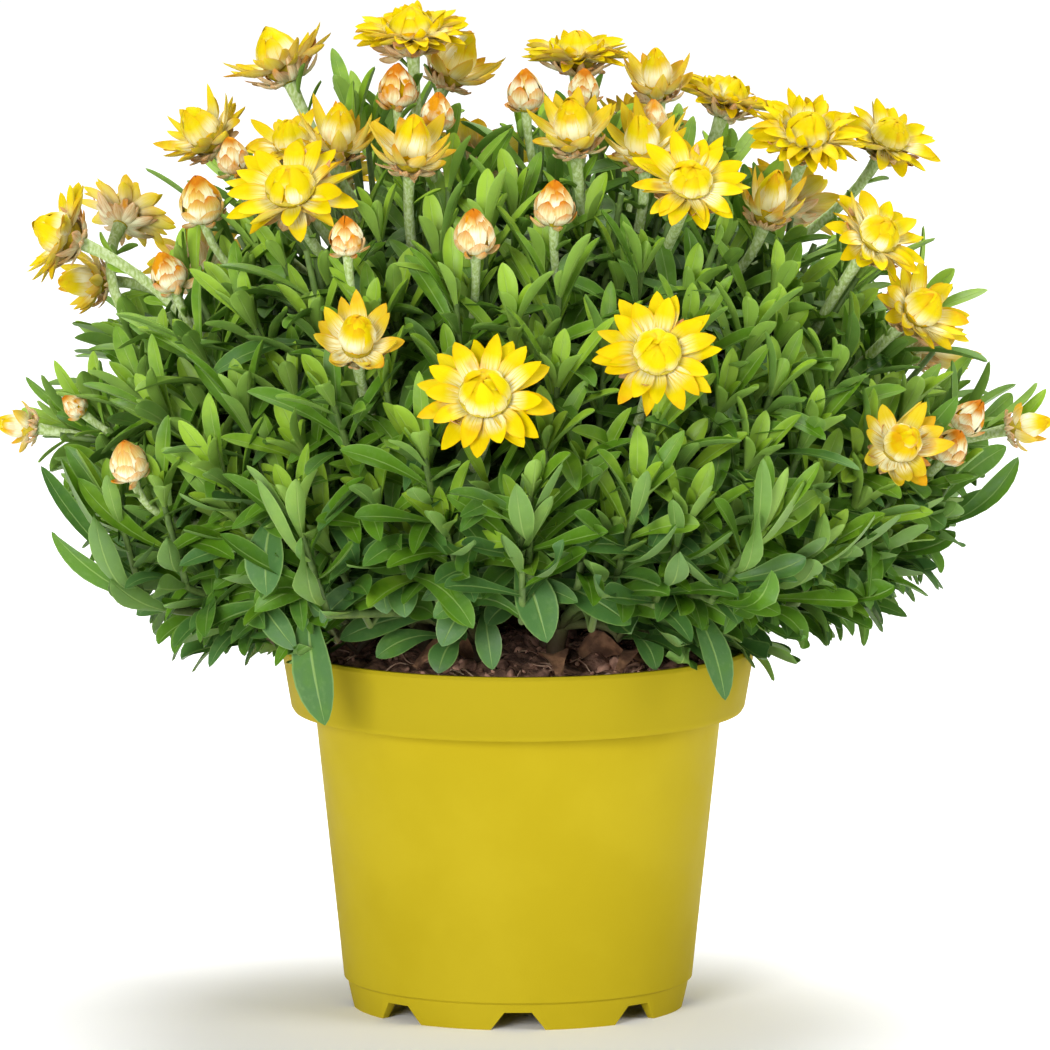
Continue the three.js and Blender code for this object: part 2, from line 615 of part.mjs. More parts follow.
function growLeaves(number, shoot, placed) {
  const changes = [
    { turn: 0, open: 0, length: 1 },
    { turn: 24, open: -8, length: 1 },
    { turn: -24, open: -8, length: 1 },
    { turn: 0, open: -18, length: 0.85 },
    { turn: 48, open: 6, length: 0.85 },
    { turn: -48, open: 6, length: 0.85 },
    { turn: 72, open: -10, length: 0.85 },
    { turn: -72, open: -10, length: 0.85 },
  ];
  const rooted = ['stem', `shoot ${number}`];
  for (const rank of LEAVES_DRAWN) {
    const fits = changes.map((change) => leafOn(shoot, rank, dice(1000 + number * 20 + rank), change))
      .find((leaf) => [0, LEAF_ROOM].every(
        (room) => isClear(makeLeaf(leaf, room), shoot.stem.name, rooted, placed),
      ));
    if (fits) place(makeLeaf(fits), shoot.stem.name, 'leaf', placed);
  }
}

function buildPlant() {
  const group = new THREE.Group();
  const plan = stemPlan();
  const placed = [];
  group.add(makePot(), makeSoil(plan));
  for (const mesh of group.children) place(solid(mesh.geometry), mesh.name, mesh.name, placed);
  for (const stem of plan) {
    place(makeMainStem(stem), stem.name, 'stem', placed);
    place(makeCore(stem, plan.indexOf(stem)), stem.name, 'stem', placed);
  }
  for (const head of HEADS) {
    const axis = heading(...head.face);
    const geometry = head.open === 0 ? makeBud(head.size) : makeHead(head);
    const mesh = piece(head.name, geometryOf(solid(geometry)), head.open < 0.3 ? BUD_SCALES : BRACTS);
    mesh.position.copy(seen(head.place));
    mesh.quaternion.setFromUnitVectors(UP, axis);
    mesh.updateMatrix();
    group.add(mesh);
    place(solid(mesh.geometry.clone().applyMatrix4(mesh.matrix)), head.name, head.name, placed);
    const base = mesh.position.clone().addScaledVector(axis, -headDepth(head) - SEAT_GAP);
    const stem = stemFor(base, plan);
    place(makeStalk(stem, base, axis), stem.name, 'stalk', placed);
  }
  for (const bud of SMALL_BUDS) {
    const axis = heading(...bud.face);
    const centre = seen(bud.place);
    const matrix = new THREE.Matrix4().makeRotationFromQuaternion(
      new THREE.Quaternion().setFromUnitVectors(UP, axis),
    ).setPosition(centre);
    const base = centre.clone().addScaledVector(axis, 0.5 - headDepth({ size: bud.size, open: 0 }));
    const stem = stemFor(base, plan);
    place(solid(makeBud(bud.size).applyMatrix4(matrix)), stem.name, 'bud', placed);
    place(makeStalk(stem, base, axis), stem.name, 'stalk', placed);
  }
  for (const hanging of HANGING_LEAVES) {
    const { stem, body } = makeHangingLeaf(hanging, plan);
    place(body, stem.name, 'stem', placed);
  }
  for (let number = 0; number < SHOOTS; number += 1) {
    const shoot = growShoot(number, plan);
    const body = makeShoot(shoot);
    if (!isClear(body, shoot.stem.name, ['stem', 'stalk'], placed)) continue;
    place(body, shoot.stem.name, `shoot ${number}`, placed);
    growLeaves(number, shoot, placed);
  }
  for (const { name } of plan) {
    const parts = placed.filter((part) => part.owner === name).map((part) => part.body);
    group.add(piece(name, geometryOf(mainBody(wasm.Manifold.union(parts))), FOLIAGE));
  }
  return group;
}

export default buildPlant();
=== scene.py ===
"""A strawflower in a plastic nursery pot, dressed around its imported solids. Metres, +Z up, the front to -Y.
Sizes marked in millimetres are turned into metres where they are used."""
import math

import bmesh
import bpy
import numpy as np
from mathutils import Matrix, Vector, noise


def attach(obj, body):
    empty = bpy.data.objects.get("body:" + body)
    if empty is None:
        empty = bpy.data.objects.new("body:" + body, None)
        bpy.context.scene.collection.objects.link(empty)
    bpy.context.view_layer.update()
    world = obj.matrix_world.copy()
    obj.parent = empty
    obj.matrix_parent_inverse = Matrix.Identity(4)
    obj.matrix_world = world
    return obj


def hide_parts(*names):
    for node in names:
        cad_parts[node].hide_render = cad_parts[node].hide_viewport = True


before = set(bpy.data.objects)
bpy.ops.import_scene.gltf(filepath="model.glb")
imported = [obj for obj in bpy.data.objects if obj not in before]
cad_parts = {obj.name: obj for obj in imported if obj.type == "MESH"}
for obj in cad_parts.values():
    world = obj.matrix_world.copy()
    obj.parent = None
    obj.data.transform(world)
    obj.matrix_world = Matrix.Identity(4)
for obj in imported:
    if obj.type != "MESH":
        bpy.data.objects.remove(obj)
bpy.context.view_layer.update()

# Camera: a very long lens from in front of the pot and a little above it, which is how the plant was seen.
# Its distance sets the perspective, and its lens takes in the whole plant.
EYE = Vector((0, -3.962, 0.683))
AIM = Vector((0.0019, 0, 0.1327))
camera = bpy.data.objects.new("camera", bpy.data.cameras.new("camera"))
camera.data.sensor_width = 36
camera.data.lens = 500
camera.data.clip_end = 40
camera.location = EYE
camera.rotation_euler = (AIM - EYE).to_track_quat("-Z", "Y").to_euler()
bpy.context.collection.objects.link(camera)
bpy.context.scene.camera = camera
bpy.context.scene.view_settings.view_transform = "Standard"

# Studio: a white sweep of floor under one big soft lamp in front, a weaker one to the right and one above,
# in a room of even white light. A lamp is its name, its place, its width and its power.
FLOOR_HALF = 9
FLOOR_WHITE = (0.95, 0.95, 0.95, 1)
ROOM_LIGHT = 0.36
LIT_POINT = Vector((0, 0, 0.14))
LAMPS = (
    ("front lamp", (-1.3, -3.3, 1.05), 1.4, 125),
    ("side lamp", (2.8, -1.4, 1.5), 1.8, 50),
    ("top lamp", (0.2, 0.9, 3.2), 2.3, 146),
)


def new_finish(name):
    """A material, its node tree and its shader"""
    finish = bpy.data.materials.new(name)
    finish.use_nodes = True
    return finish, finish.node_tree, finish.node_tree.nodes["Principled BSDF"]


def feed(tree, socket, value):
    """Sets a socket to a value, or links it to another socket"""
    if isinstance(value, bpy.types.NodeSocket):
        tree.links.new(value, socket)
    else:
        socket.default_value = value


def coat(tree, shader, colour, roughness, gloss=0.5):
    for name, value in (("Base Color", colour), ("Roughness", roughness), ("Specular IOR Level", gloss)):
        feed(tree, shader.inputs[name], value)


floor_mesh = bpy.data.meshes.new("floor")
bm = bmesh.new()
bmesh.ops.create_grid(bm, x_segments=1, y_segments=1, size=FLOOR_HALF)
bm.to_mesh(floor_mesh)
bm.free()
floor = bpy.data.objects.new("floor", floor_mesh)
bpy.context.collection.objects.link(floor)
floor_finish, tree, shader = new_finish("floor white")
coat(tree, shader, FLOOR_WHITE, 0.9)
floor_mesh.materials.append(floor_finish)

room = bpy.data.worlds.new("room")
room.use_nodes = True
backdrop = room.node_tree.nodes["Background"].inputs
backdrop["Color"].default_value = (1, 1, 1, 1)
backdrop["Strength"].default_value = ROOM_LIGHT
bpy.context.scene.world = room

for name, place, width, power in LAMPS:
    lamp = bpy.data.objects.new(name, bpy.data.lights.new(name, "AREA"))
    lamp.data.size = width
    lamp.data.energy = power
    lamp.location = place
    lamp.rotation_euler = (LIT_POINT - lamp.location).to_track_quat("-Z", "Y").to_euler()
    bpy.context.collection.objects.link(lamp)

# Pot: one thin moulding of olive-yellow polypropylene with a satin face. A tapered band stiffens its rim,
# and its foot ring has eight notches that let water out of the eight drains in the floor above.
# The outline runs out under the floor, up the outside, over the lip and down the inside.
MM = 0.001
RIM_RADIUS, POT_HEIGHT = 65, 100
POT_PROFILE = (
    (0, 6.0), (43.3, 6.0), (43.3, 0), (45.6, 0), (46.9, 7.2), (47.9, 7.9), (55.7, 81.3), (61.6, 82.0),
    (62.3, 83.2), (RIM_RADIUS, POT_HEIGHT - 1), (RIM_RADIUS - 0.4, POT_HEIGHT),
    (RIM_RADIUS - 1.9, POT_HEIGHT), (60.2, 84.4), (54.1, 82.7), (46.3, 9.2), (45.5, 7.6), (0, 7.6),
)
POT_STEPS = 144
NOTCHES, NOTCH_PLACE, NOTCH_DEPTH = 8, 40, 12
NOTCH_CORNERS = ((-8.25, -1), (8.25, -1), (3.75, 5), (-3.75, 5))
DRAIN_RADIUS, DRAIN_PLACE = 3.6, 36
PIN_LENGTH, PIN_HEIGHT = 5, 6.8
POT_EDGE = 0.35
BEVELLED, CREASED = math.radians(24), math.radians(38)
LIP_FOOT = (0.081, 0.084)
POT_YELLOW = (0.410, 0.320, 0.012, 1)
POT_DEEPER = (0.380, 0.294, 0.009, 1)
# The lip's deeper yellow is partly its thicker plastic, partly painted shade.
POT_LIP_THICK_AND_SHADED = (0.335, 0.262, 0.009, 1)


def show(name, mesh, finish, replaced=()):
    """Makes a piece of a mesh: it rides on the part and stands for the CAD nodes named."""
    piece = bpy.data.objects.new(name, mesh)
    bpy.context.collection.objects.link(piece)
    mesh.materials.append(finish)
    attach(piece, "root")
    if replaced:
        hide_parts(*replaced)
    return piece


def node(tree, kind, inputs=None, **settings):
    made = tree.nodes.new("ShaderNode" + kind)
    for name, value in settings.items():
        setattr(made, name, value)
    for name, value in (inputs or {}).items():
        feed(tree, made.inputs[name], value)
    return made


def lie(tree, space="Object"):
    """Where each point lies, on the piece or on its UV map"""
    return node(tree, "TexCoord").outputs[space]


def parted(tree, vector):
    return node(tree, "SeparateXYZ", {"Vector": vector}).outputs


def calc(tree, operation, first, second=0.0):
    made = node(tree, "Math", operation=operation)
    feed(tree, made.inputs[0], first)
    feed(tree, made.inputs[1], second)
    return made.outputs[0]


def blend(tree, share, first, second):
    """A colour between two, by a share from 0 to 1"""
    made = node(tree, "Mix", data_type="RGBA")
    for socket, value in zip((made.inputs[0], made.inputs[6], made.inputs[7]), (share, first, second)):
        feed(tree, socket, value)
    return made.outputs[2]


def eased(tree, value, start, end, low=0.0, high=1.0):
    """A smooth step of a value from low at start to high at end"""
    made = node(tree, "MapRange", {"Value": value, "From Min": start, "From Max": end, "To Min": low,
                                   "To Max": high}, interpolation_type="SMOOTHSTEP")
    return made.outputs["Result"]


def speckle(tree, coords, scale, detail=3.0):
    return node(tree, "TexNoise", {"Vector": coords, "Scale": scale, "Detail": detail}).outputs["Fac"]


def relief(tree, shader, height, strength, depth):
    bump = node(tree, "Bump", {"Height": height, "Strength": strength, "Distance": depth})
    tree.links.new(bump.outputs["Normal"], shader.inputs["Normal"])


def spun(profile, steps):
    """A closed body spun about the Z axis from an outline of radii and heights in millimetres"""
    bm = bmesh.new()
    line = [bm.verts.new((radius * MM, 0, height * MM)) for radius, height in profile]
    edges = [bm.edges.new(pair) for pair in zip(line, line[1:])]
    bmesh.ops.spin(bm, geom=line + edges, cent=(0, 0, 0), axis=(0, 0, 1), angle=2 * math.pi, steps=steps,
                   use_merge=True)
    bmesh.ops.remove_doubles(bm, verts=bm.verts, dist=1e-6)
    bmesh.ops.recalc_face_normals(bm, faces=bm.faces)
    return bm


def settled(name, bm, smooth=True):
    """The mesh of a finished bmesh"""
    for face in bm.faces:
        face.smooth = smooth
    mesh = bpy.data.meshes.new(name)
    bm.to_mesh(mesh)
    bm.free()
    return mesh


def pot_cutters():
    """The notches' wedges and the drains' pins, as one mesh"""
    bm = bmesh.new()
    for i in range(NOTCHES):
        turn = Matrix.Rotation(2 * math.pi * i / NOTCHES, 4, "Z")
        corners = [bm.verts.new((x * MM, -NOTCH_PLACE * MM, z * MM)) for x, z in NOTCH_CORNERS]
        wedge = bmesh.ops.extrude_face_region(bm, geom=[bm.faces.new(corners)])["geom"]
        moved = [v for v in wedge if isinstance(v, bmesh.types.BMVert)]
        bmesh.ops.translate(bm, verts=moved, vec=(0, -NOTCH_DEPTH * MM, 0))
        bmesh.ops.transform(bm, verts=corners + moved, matrix=turn)
        bmesh.ops.create_cone(bm, cap_ends=True, segments=24, radius1=DRAIN_RADIUS * MM,
                              radius2=DRAIN_RADIUS * MM, depth=PIN_LENGTH * MM,
                              matrix=turn @ Matrix.Translation((0, -DRAIN_PLACE * MM, PIN_HEIGHT * MM)))
    bmesh.ops.recalc_face_normals(bm, faces=bm.faces)
    return settled("pot cutters", bm, smooth=False)


def make_pot():
    body = bpy.data.objects.new("pot body", settled("pot body", spun(POT_PROFILE, POT_STEPS)))
    cutters = bpy.data.objects.new("pot cutters", pot_cutters())
    for each in (body, cutters):
        bpy.context.collection.objects.link(each)
    cut = body.modifiers.new("notches and drains", "BOOLEAN")
    cut.operation = "DIFFERENCE"
    cut.solver = "EXACT"
    cut.object = cutters
    bm = bmesh.new()
    bm.from_mesh(body.evaluated_get(bpy.context.evaluated_depsgraph_get()).to_mesh())
    for each in (body, cutters):
        bpy.data.objects.remove(each)
    bmesh.ops.remove_doubles(bm, verts=bm.verts, dist=1e-6)
    hard = [e for e in bm.edges if len(e.link_faces) == 2 and e.calc_face_angle() > BEVELLED]
    bmesh.ops.bevel(bm, geom=hard, offset=POT_EDGE * MM, offset_type="OFFSET", segments=2, profile=0.5,
                    affect="EDGES", clamp_overlap=True, material=-1)
    mesh = settled("pot", bm)
    mesh.set_sharp_from_angle(angle=CREASED)
    return mesh


pot_finish, tree, shader = new_finish("pot plastic")
coords = lie(tree)
colour = blend(tree, eased(tree, speckle(tree, coords, 26, 4), 0.35, 0.65), POT_YELLOW, POT_DEEPER)
# The lip is a deeper yellow above LIP_FOOT: partly its thicker plastic, partly painted shade that tones down
# the stronger light on the rim.
colour = blend(tree, eased(tree, parted(tree, coords)["Z"], *LIP_FOOT), colour, POT_LIP_THICK_AND_SHADED)
coat(tree, shader, colour, eased(tree, speckle(tree, coords, 90, 5), 0.3, 0.7, 0.54, 0.64), 0.03)
relief(tree, shader, speckle(tree, coords, 1500, 2), 0.12, 0.0002)
show("pot_moulding", make_pot(), pot_finish, ["pot"])

# Soil: dark peat with bark crumbs and root fibres, filled to just under the rim and heaped a little at the
# middle.
SOIL_EDGE_RADIUS, SOIL_EDGE_HEIGHT, SOIL_MOUND = 61.6, 94.5, 5
SOIL_WALL = ((60.0, 86.2), (53.8, 83.0), (46.1, 9.6), (45.0, 7.9), (0, 7.9))
SOIL_RINGS, SOIL_STEPS = 40, 150
CRUMBS, LUMPS, FIBRES = 620, 90, 130
CRUMB_SIZES, LUMP_SIZES = (0.35, 1.0), (1.1, 2.6)
FIBRE_RADII = (0.12, 0.2, 0.24, 0.24, 0.22, 0.18, 0.08)
FIBRE_STEP, STREWN_REACH = 1.3, 60
PEAT_DARK = (0.11, 0.058, 0.040, 1)
PEAT_BROWN = (0.38, 0.205, 0.140, 1)
BARK_RED = (0.60, 0.335, 0.235, 1)
FIBRE_TAN = (0.80, 0.600, 0.420, 1)


def soil_height(x, y):
    """How high the soil's lumps stand at a place, all in millimetres"""
    mound = SOIL_MOUND * (1 - (x * x + y * y) / SOIL_EDGE_RADIUS ** 2)
    lumps = 1.3 * math.sin(0.31 * x + 1) * math.cos(0.27 * y) + 0.9 * math.sin(0.53 * x - 0.41 * y)
    return SOIL_EDGE_HEIGHT + mound + lumps


def crumbly(point, scale, depth):
    """A place's own rise or fall in crumbly soil"""
    return depth * noise.fractal(point * scale, 0.9, 2.1, 4)


def make_soil():
    rings = [(SOIL_EDGE_RADIUS * ring / SOIL_RINGS, SOIL_EDGE_HEIGHT) for ring in range(SOIL_RINGS + 1)]
    bm = spun((*rings, *SOIL_WALL), SOIL_STEPS)
    for vert in bm.verts:
        if vert.co.z > (SOIL_EDGE_HEIGHT - 0.1) * MM:
            height = soil_height(vert.co.x / MM, vert.co.y / MM)
            vert.co.z = height * MM + crumbly(vert.co, 180, 0.0011) + crumbly(vert.co, 620, 0.0006)
    return settled("soil", bm)


def strewn(rng, reach):
    """A chance place within reach of the axis"""
    around, out = rng.uniform(0, 2 * math.pi), reach * math.sqrt(rng.uniform(0, 1))
    return out * math.cos(around), out * math.sin(around)


def make_crumbs():
    """Crumbs and a few bigger lumps of bark, strewn over the soil and half sunk in it"""
    rng = np.random.default_rng(11)
    bm = bmesh.new()
    for i in range(CRUMBS + LUMPS):
        x, y = strewn(rng, STREWN_REACH)
        big = i >= CRUMBS
        size = rng.uniform(*(LUMP_SIZES if big else CRUMB_SIZES))
        made = bmesh.ops.create_icosphere(bm, subdivisions=2 if big else 1, radius=size * MM)["verts"]
        stretch = Matrix.Diagonal((rng.uniform(0.7, 1.5), rng.uniform(0.6, 1), rng.uniform(0.45, 0.85), 1))
        turn = Matrix.Rotation(rng.uniform(0, 6), 4, Vector(rng.uniform(-1, 1, 3)).normalized())
        place = Matrix.Translation((x * MM, y * MM, (soil_height(x, y) + 0.25 * size) * MM))
        for vert in made:
            vert.co *= 1 + 0.35 * noise.noise(vert.co / (size * MM) * 1.3 + Vector((i, 0, 0)))
        bmesh.ops.transform(bm, verts=made, matrix=place @ turn @ stretch)
    return settled("soil crumbs", bm)


def tubes(name, runs, roundness=2):
    """One mesh of round tapering tubes. A run is its points and its radius at each, in millimetres."""
    curve = bpy.data.curves.new(name, "CURVE")
    curve.dimensions = "3D"
    curve.bevel_depth = MM
    curve.bevel_resolution = roundness
    curve.use_fill_caps = True
    for points, radii in runs:
        spline = curve.splines.new("POLY")
        spline.points.add(len(points) - 1)
        for spot, point, radius in zip(spline.points, points, radii):
            spot.co = (*(np.asarray(point) * MM), 1)
            spot.radius = radius
    holder = bpy.data.objects.new(name, curve)
    bpy.context.collection.objects.link(holder)
    mesh = bpy.data.meshes.new_from_object(holder.evaluated_get(bpy.context.evaluated_depsgraph_get()))
    bpy.data.objects.remove(holder)
    bpy.data.curves.remove(curve)
    mesh.name = name
    mesh.shade_smooth()
    return mesh


def make_fibres():
    """Fine roots that wander over the soil and rise from it a little"""
    rng = np.random.default_rng(12)
    runs = []
    for _ in range(FIBRES):
        point = np.array(strewn(rng, STREWN_REACH - 3))
        way = rng.uniform(0, 2 * math.pi)
        points = []
        for share in np.linspace(0, 1, len(FIBRE_RADII)):
            way += rng.uniform(-0.5, 0.5)
            point = point + FIBRE_STEP * np.array([math.cos(way), math.sin(way)])
            point *= min(1, (STREWN_REACH - 1) / np.hypot(*point))
            rise = 0.3 + 0.9 * math.sin(math.pi * share) * rng.uniform(0.2, 1)
            points.append((*point, soil_height(*point) + rise))
        runs.append((points, FIBRE_RADII))
    return tubes("soil fibres", runs, 0)


def peat_finish(name, dark, light, scale):
    finish, tree, shader = new_finish(name)
    coords = lie(tree)
    colour = blend(tree, eased(tree, speckle(tree, coords, scale, 6), 0.38, 0.66), dark, light)
    patches = eased(tree, speckle(tree, coords, scale / 5), 0.55, 0.75, 0, 0.7)
    coat(tree, shader, blend(tree, patches, colour, BARK_RED), 0.92, 0.25)
    relief(tree, shader, speckle(tree, coords, scale * 2.5, 6), 0.8, 0.0006)
    return finish


show("peat_bed", make_soil(), peat_finish("peat", PEAT_DARK, PEAT_BROWN, 420), ["soil"])
show("peat_crumbs", make_crumbs(), peat_finish("peat crumbs", PEAT_DARK, BARK_RED, 260))
show("peat_fibres", make_fibres(), peat_finish("peat fibres", PEAT_BROWN, FIBRE_TAN, 120))

# Flower heads, where they stand: each place is right of the axis, above the ground and in front of the axis
# in millimetres, the first two as the eye sees them in the upright plane through the axis. The face is its
# turn to the right and its tilt up in degrees, the size is across the bracts, and open is 1 for a flat head.
BLOOMS = (
    ((-65, 261, -8), (-100, 66), 31, 0.8), ((-29, 268, 16), (-12, 76), 34, 1),
    ((-17, 260, -14), (60, 60), 24, 0.5), ((-29, 237, 60), (10, 62), 25, 0.5),
    ((-86, 241, 2), (-58, 52), 27, 0.75), ((-49, 240, 36), (0, 72), 22, 0.45),
    ((-62, 225, 62), (-14, 48), 37, 1), ((-62, 238, 22), (-20, 68), 27, 0.9),
    ((-125, 213, 12), (-82, 24), 31, 0.9), ((-107, 219, -24), (150, 42), 29, 1),
    ((-118, 200, -16), (-70, 2), 20, 0.5), ((-44, 184, 106), (0, 42), 25, 0.55),
    ((-9, 168, 122), (-4, 38), 38, 1), ((38, 180, 116), (4, 26), 35, 1),
    ((-136.5, 160, 8), (-88, 8), 14.5, 0.4), ((16, 262, -22), (0, 86), 31, 1),
    ((15, 242, 56), (-10, 60), 26, 0.6), ((34, 238, 44), (-8, 62), 24, 0.6),
    ((38, 256, 4), (-10, 66), 20, 0.4), ((47, 227, 76), (10, 42), 32, 1), ((57, 250, -6), (70, 72), 29, 1),
    ((79, 240, 22), (16, 58), 33, 1), ((101, 239, -16), (40, 54), 30, 1),
    ((69, 222, 44), (30, 64), 20, 0.35), ((98, 212, 46), (38, 42), 31, 1),
    ((110, 192, 40), (42, 34), 29, 0.85), ((105, 155, 76), (16, 22), 26, 0.6),
    ((139, 160, 12), (86, 12), 16, 0.4), ((-54, 228, -70), (200, 50), 35, 1),
    ((-12, 234, -84), (176, 48), 37, 1), ((34, 244, -66), (170, 62), 30, 0.8),
    ((74, 222, -82), (150, 44), 35, 1), ((-88, 206, -84), (214, 40), 34, 1),
    ((14, 180, -122), (178, 30), 36, 1), ((-48, 172, -118), (190, 30), 26, 0.6),
    ((66, 160, -112), (158, 24), 33, 0.9), ((112, 184, -58), (124, 30), 27, 0.6),
)
BUDS = (
    ((-33, 254, 30), (-6, 74), 10.5, 0), ((-87, 223, 34), (-20, 66), 12, 0.15),
    ((-12, 214, 92), (-6, 66), 11, 0), ((10, 222, 84), (4, 68), 11, 0), ((-96, 203, 40), (-40, 62), 10, 0),
    ((-107, 151, 74), (-20, 56), 10.5, 0), ((119, 155, 56), (30, 44), 9.5, 0),
)
HEADS = {f"{kind}_{i + 1:02}": row for kind, rows in (("bloom", BLOOMS), ("bud", BUDS))
         for i, row in enumerate(rows)}
SMALL_BUDS = (
    ((-22, 247, 44), (14, 74), 9), ((-78, 235, 20), (-30, 70), 9), ((-47, 213, 88), (-6, 64), 9.5),
    ((-122, 166, 26), (-66, 40), 6), ((2, 253, 24), (-8, 74), 10), ((18, 254, 14), (10, 70), 8.5),
    ((37, 246, 34), (0, 72), 7.5), ((124, 163, 34), (64, 50), 9), ((-20, 208, -98), (184, 60), 10),
    ((50, 200, -100), (164, 56), 9.5), ((-104, 166, -66), (236, 44), 9),
)
CLOSED_DEPTH, OPEN_DEPTH, SEAT_GAP = 0.62, 0.17, 0.1
EYE_MM = np.array(EYE) / MM
UP = np.array([0.0, 0.0, 1.0])


def lerp(first, second, share):
    return first + (second - first) * share


def unit(vector):
    return vector / np.linalg.norm(vector, axis=-1, keepdims=True)


def seen(place):
    """The point in front of or behind the upright plane that the eye sees at a place in it"""
    across, up, front = place
    spot = np.array([across, 0.0, up])
    ray = spot - EYE_MM
    return spot - ray * front / ray[1]


def heading(face):
    """The direction of a turn to the right of the front and a tilt up, in degrees"""
    side, rise = np.radians(face)
    return np.array([math.cos(rise) * math.sin(side), -math.cos(rise) * math.cos(side), math.sin(rise)])


def head_depth(size, openness):
    """From a head's centre down to its seat on the stalk"""
    return lerp(CLOSED_DEPTH, OPEN_DEPTH, math.sqrt(openness)) * size


# Stems: each of the twelve stands in the soil and carries its share of the crown. Green, woody at the foot,
# they end in leafy shoots, and the flower stalks rise from among them, pale with felt.
CROWN_CENTRE = 143
TIP_SPREAD, TIP_RISE, TIP_DROP, DRAWN_IN = 117, 104, 62, 0.6
LOWEST_TIP, FRONT_LIFT = -19, 17
LIFT_FADES = (-0.33, 0.25)
LEAST_RISE, RISE_SHARE = math.radians(50), 0.44
ARCH_SHARE, ARCH_FADES = 0.4, (-0.25, 0.2)
CAD_SHOOTS = 84
GOLDEN_ANGLE = math.radians(137.508)
LEAFY_LENGTH, BRANCH_DROP = 33, 6
STEM_FOOT, STEM_NECK = 80.3, 103.5
STEM_RINGS = ((8, 22.5, 27, 64, 142, False), (4, 45, 12, 31, 186, True))
TRUNK_RADII, BRANCH_RADII = (2.8, 2.1), (1.5, 0.8)
STALK_POINTS, STALK_RADIUS, STALK_NECK = 14, 1.45, (1.5, 1.65, 2.0)
INNER_ABOVE = math.radians(38)
MORE_TIPS, TIP_ROOM, TIP_REACH = 4000, 15.5, (0.84, 0.99)
INNER_SHOOTS, INNER_REACH = 70, (0.5, 0.76)
NESTLED_BELOW, NESTLED_ASIDE = 182, 7
STEM_GREEN = (0.060, 0.11, 0.020, 1)
STEM_LIGHT = (0.110, 0.18, 0.035, 1)
STEM_WOOD = (0.085, 0.055, 0.028, 1)
WOODY_BELOW = (0.120, 0.100)
FELT_GREEN = (0.30, 0.41, 0.115, 1)
FELT_PALE = (0.50, 0.60, 0.320, 1)


def dice(seed):
    """Seeded draws from 0 to 1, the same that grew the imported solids"""
    state = seed * 7919 + 17

    def draw():
        nonlocal state
        state = (state * 1664525 + 1013904223) % 4294967296
        return state / 4294967296

    draw()
    draw()
    return draw


def bowed(first, middle, last, steps):
    """Points along a bow that leaves the first point towards the middle one and ends at the last"""
    share = np.linspace(0, 1, steps)[:, None]
    return (1 - share) ** 2 * first + 2 * share * (1 - share) * middle + share ** 2 * last


def level_way(turn):
    """The level direction at a compass turn from +X"""
    return np.array([math.cos(turn), math.sin(turn), 0])


def plan_stems():
    """The stems, ring by ring. The heart of a stem is where its trunk ends and its stalks begin."""
    stems = []
    for count, first, foot, reach, height, inner in STEM_RINGS:
        for i in range(count):
            outward = level_way(math.radians(first + i * 360 / count))
            neck, heart = outward * foot + UP * STEM_NECK, outward * reach + UP * height
            trunk = bowed(neck, lerp(neck, heart, 0.3) + UP * 10, heart, 9)
            path = np.vstack([outward * foot + UP * STEM_FOOT, trunk])
            stems.append({"name": f"leafy_stem_{len(stems) + 1:02}", "inner": inner, "outward": outward,
                          "heart": heart, "trunk": trunk, "leaves": [],
                          "runs": [(path, np.linspace(*TRUNK_RADII, len(path)))]})
    return stems


def stem_for(point):
    """The stem whose part of the crown a point lies in"""
    inner = math.atan2(point[2] - CROWN_CENTRE, math.hypot(point[0], point[1])) > INNER_ABOVE
    return max((stem for stem in STEMS if stem["inner"] == inner), key=lambda stem: stem["outward"] @ point)


def in_front(turn):
    """How far to the front a compass turn lies: 1 at the very front, and 0 at the sides and the back"""
    return max(0, -math.sin(turn)) ** 3


def crown_point(sine, turn, reach):
    """A place on the crown, by the sine of its height above the centre. The crown draws in towards the pot,
    and is lifted at the front, where the soil shows."""
    level = TIP_SPREAD * math.sqrt(1 - sine * sine) * (1 + DRAWN_IN * min(0, sine))
    rise = (TIP_RISE if sine > 0 else TIP_DROP) * sine
    rise += FRONT_LIFT * in_front(turn) * np.interp(sine, LIFT_FADES, (1, 0))
    return reach * (level_way(turn) * level + UP * rise) + UP * CROWN_CENTRE


def crown_shoot(sine, turn, reach, waver, phase):
    """A leafy shoot that ends at a place on the crown"""
    rise = LEAST_RISE + RISE_SHARE * math.asin(sine) + 0.35 * waver
    aim = level_way(turn) * math.cos(rise) + UP * math.sin(rise)
    return leafy_shoot(crown_point(sine, turn, reach), aim, phase, sine)


def leafy_shoot(tip, aim, phase, sine):
    """A branch of the nearest stem, which ends in a leafy shoot with its tip at a place"""
    stem = stem_for(tip)
    elbow = tip - aim * LEAFY_LENGTH
    root = next((spot for spot in stem["trunk"][::-1] if spot[2] < elbow[2] - BRANCH_DROP), stem["trunk"][1])
    reach = np.linalg.norm(elbow - root)
    arch = UP * reach * np.interp(sine, ARCH_FADES, (ARCH_SHARE, 0))
    branch = bowed(root, elbow - aim * 0.2 * reach + arch, elbow, 7)
    path = np.vstack([branch, bowed(elbow, lerp(elbow, tip, 0.5), tip, 4)[1:]])
    stem["runs"].append((path, np.linspace(*BRANCH_RADII, len(path))))
    return {"stem": stem, "branch": branch, "elbow": elbow, "tip": tip, "aim": aim, "phase": phase,
            "height": sine}


def spiral_sine(number, count):
    """How high on the crown a shoot of an even spiral ends: 1 at the top"""
    return 1 - (number + 0.5) / count * (1 - math.sin(math.radians(LOWEST_TIP)))


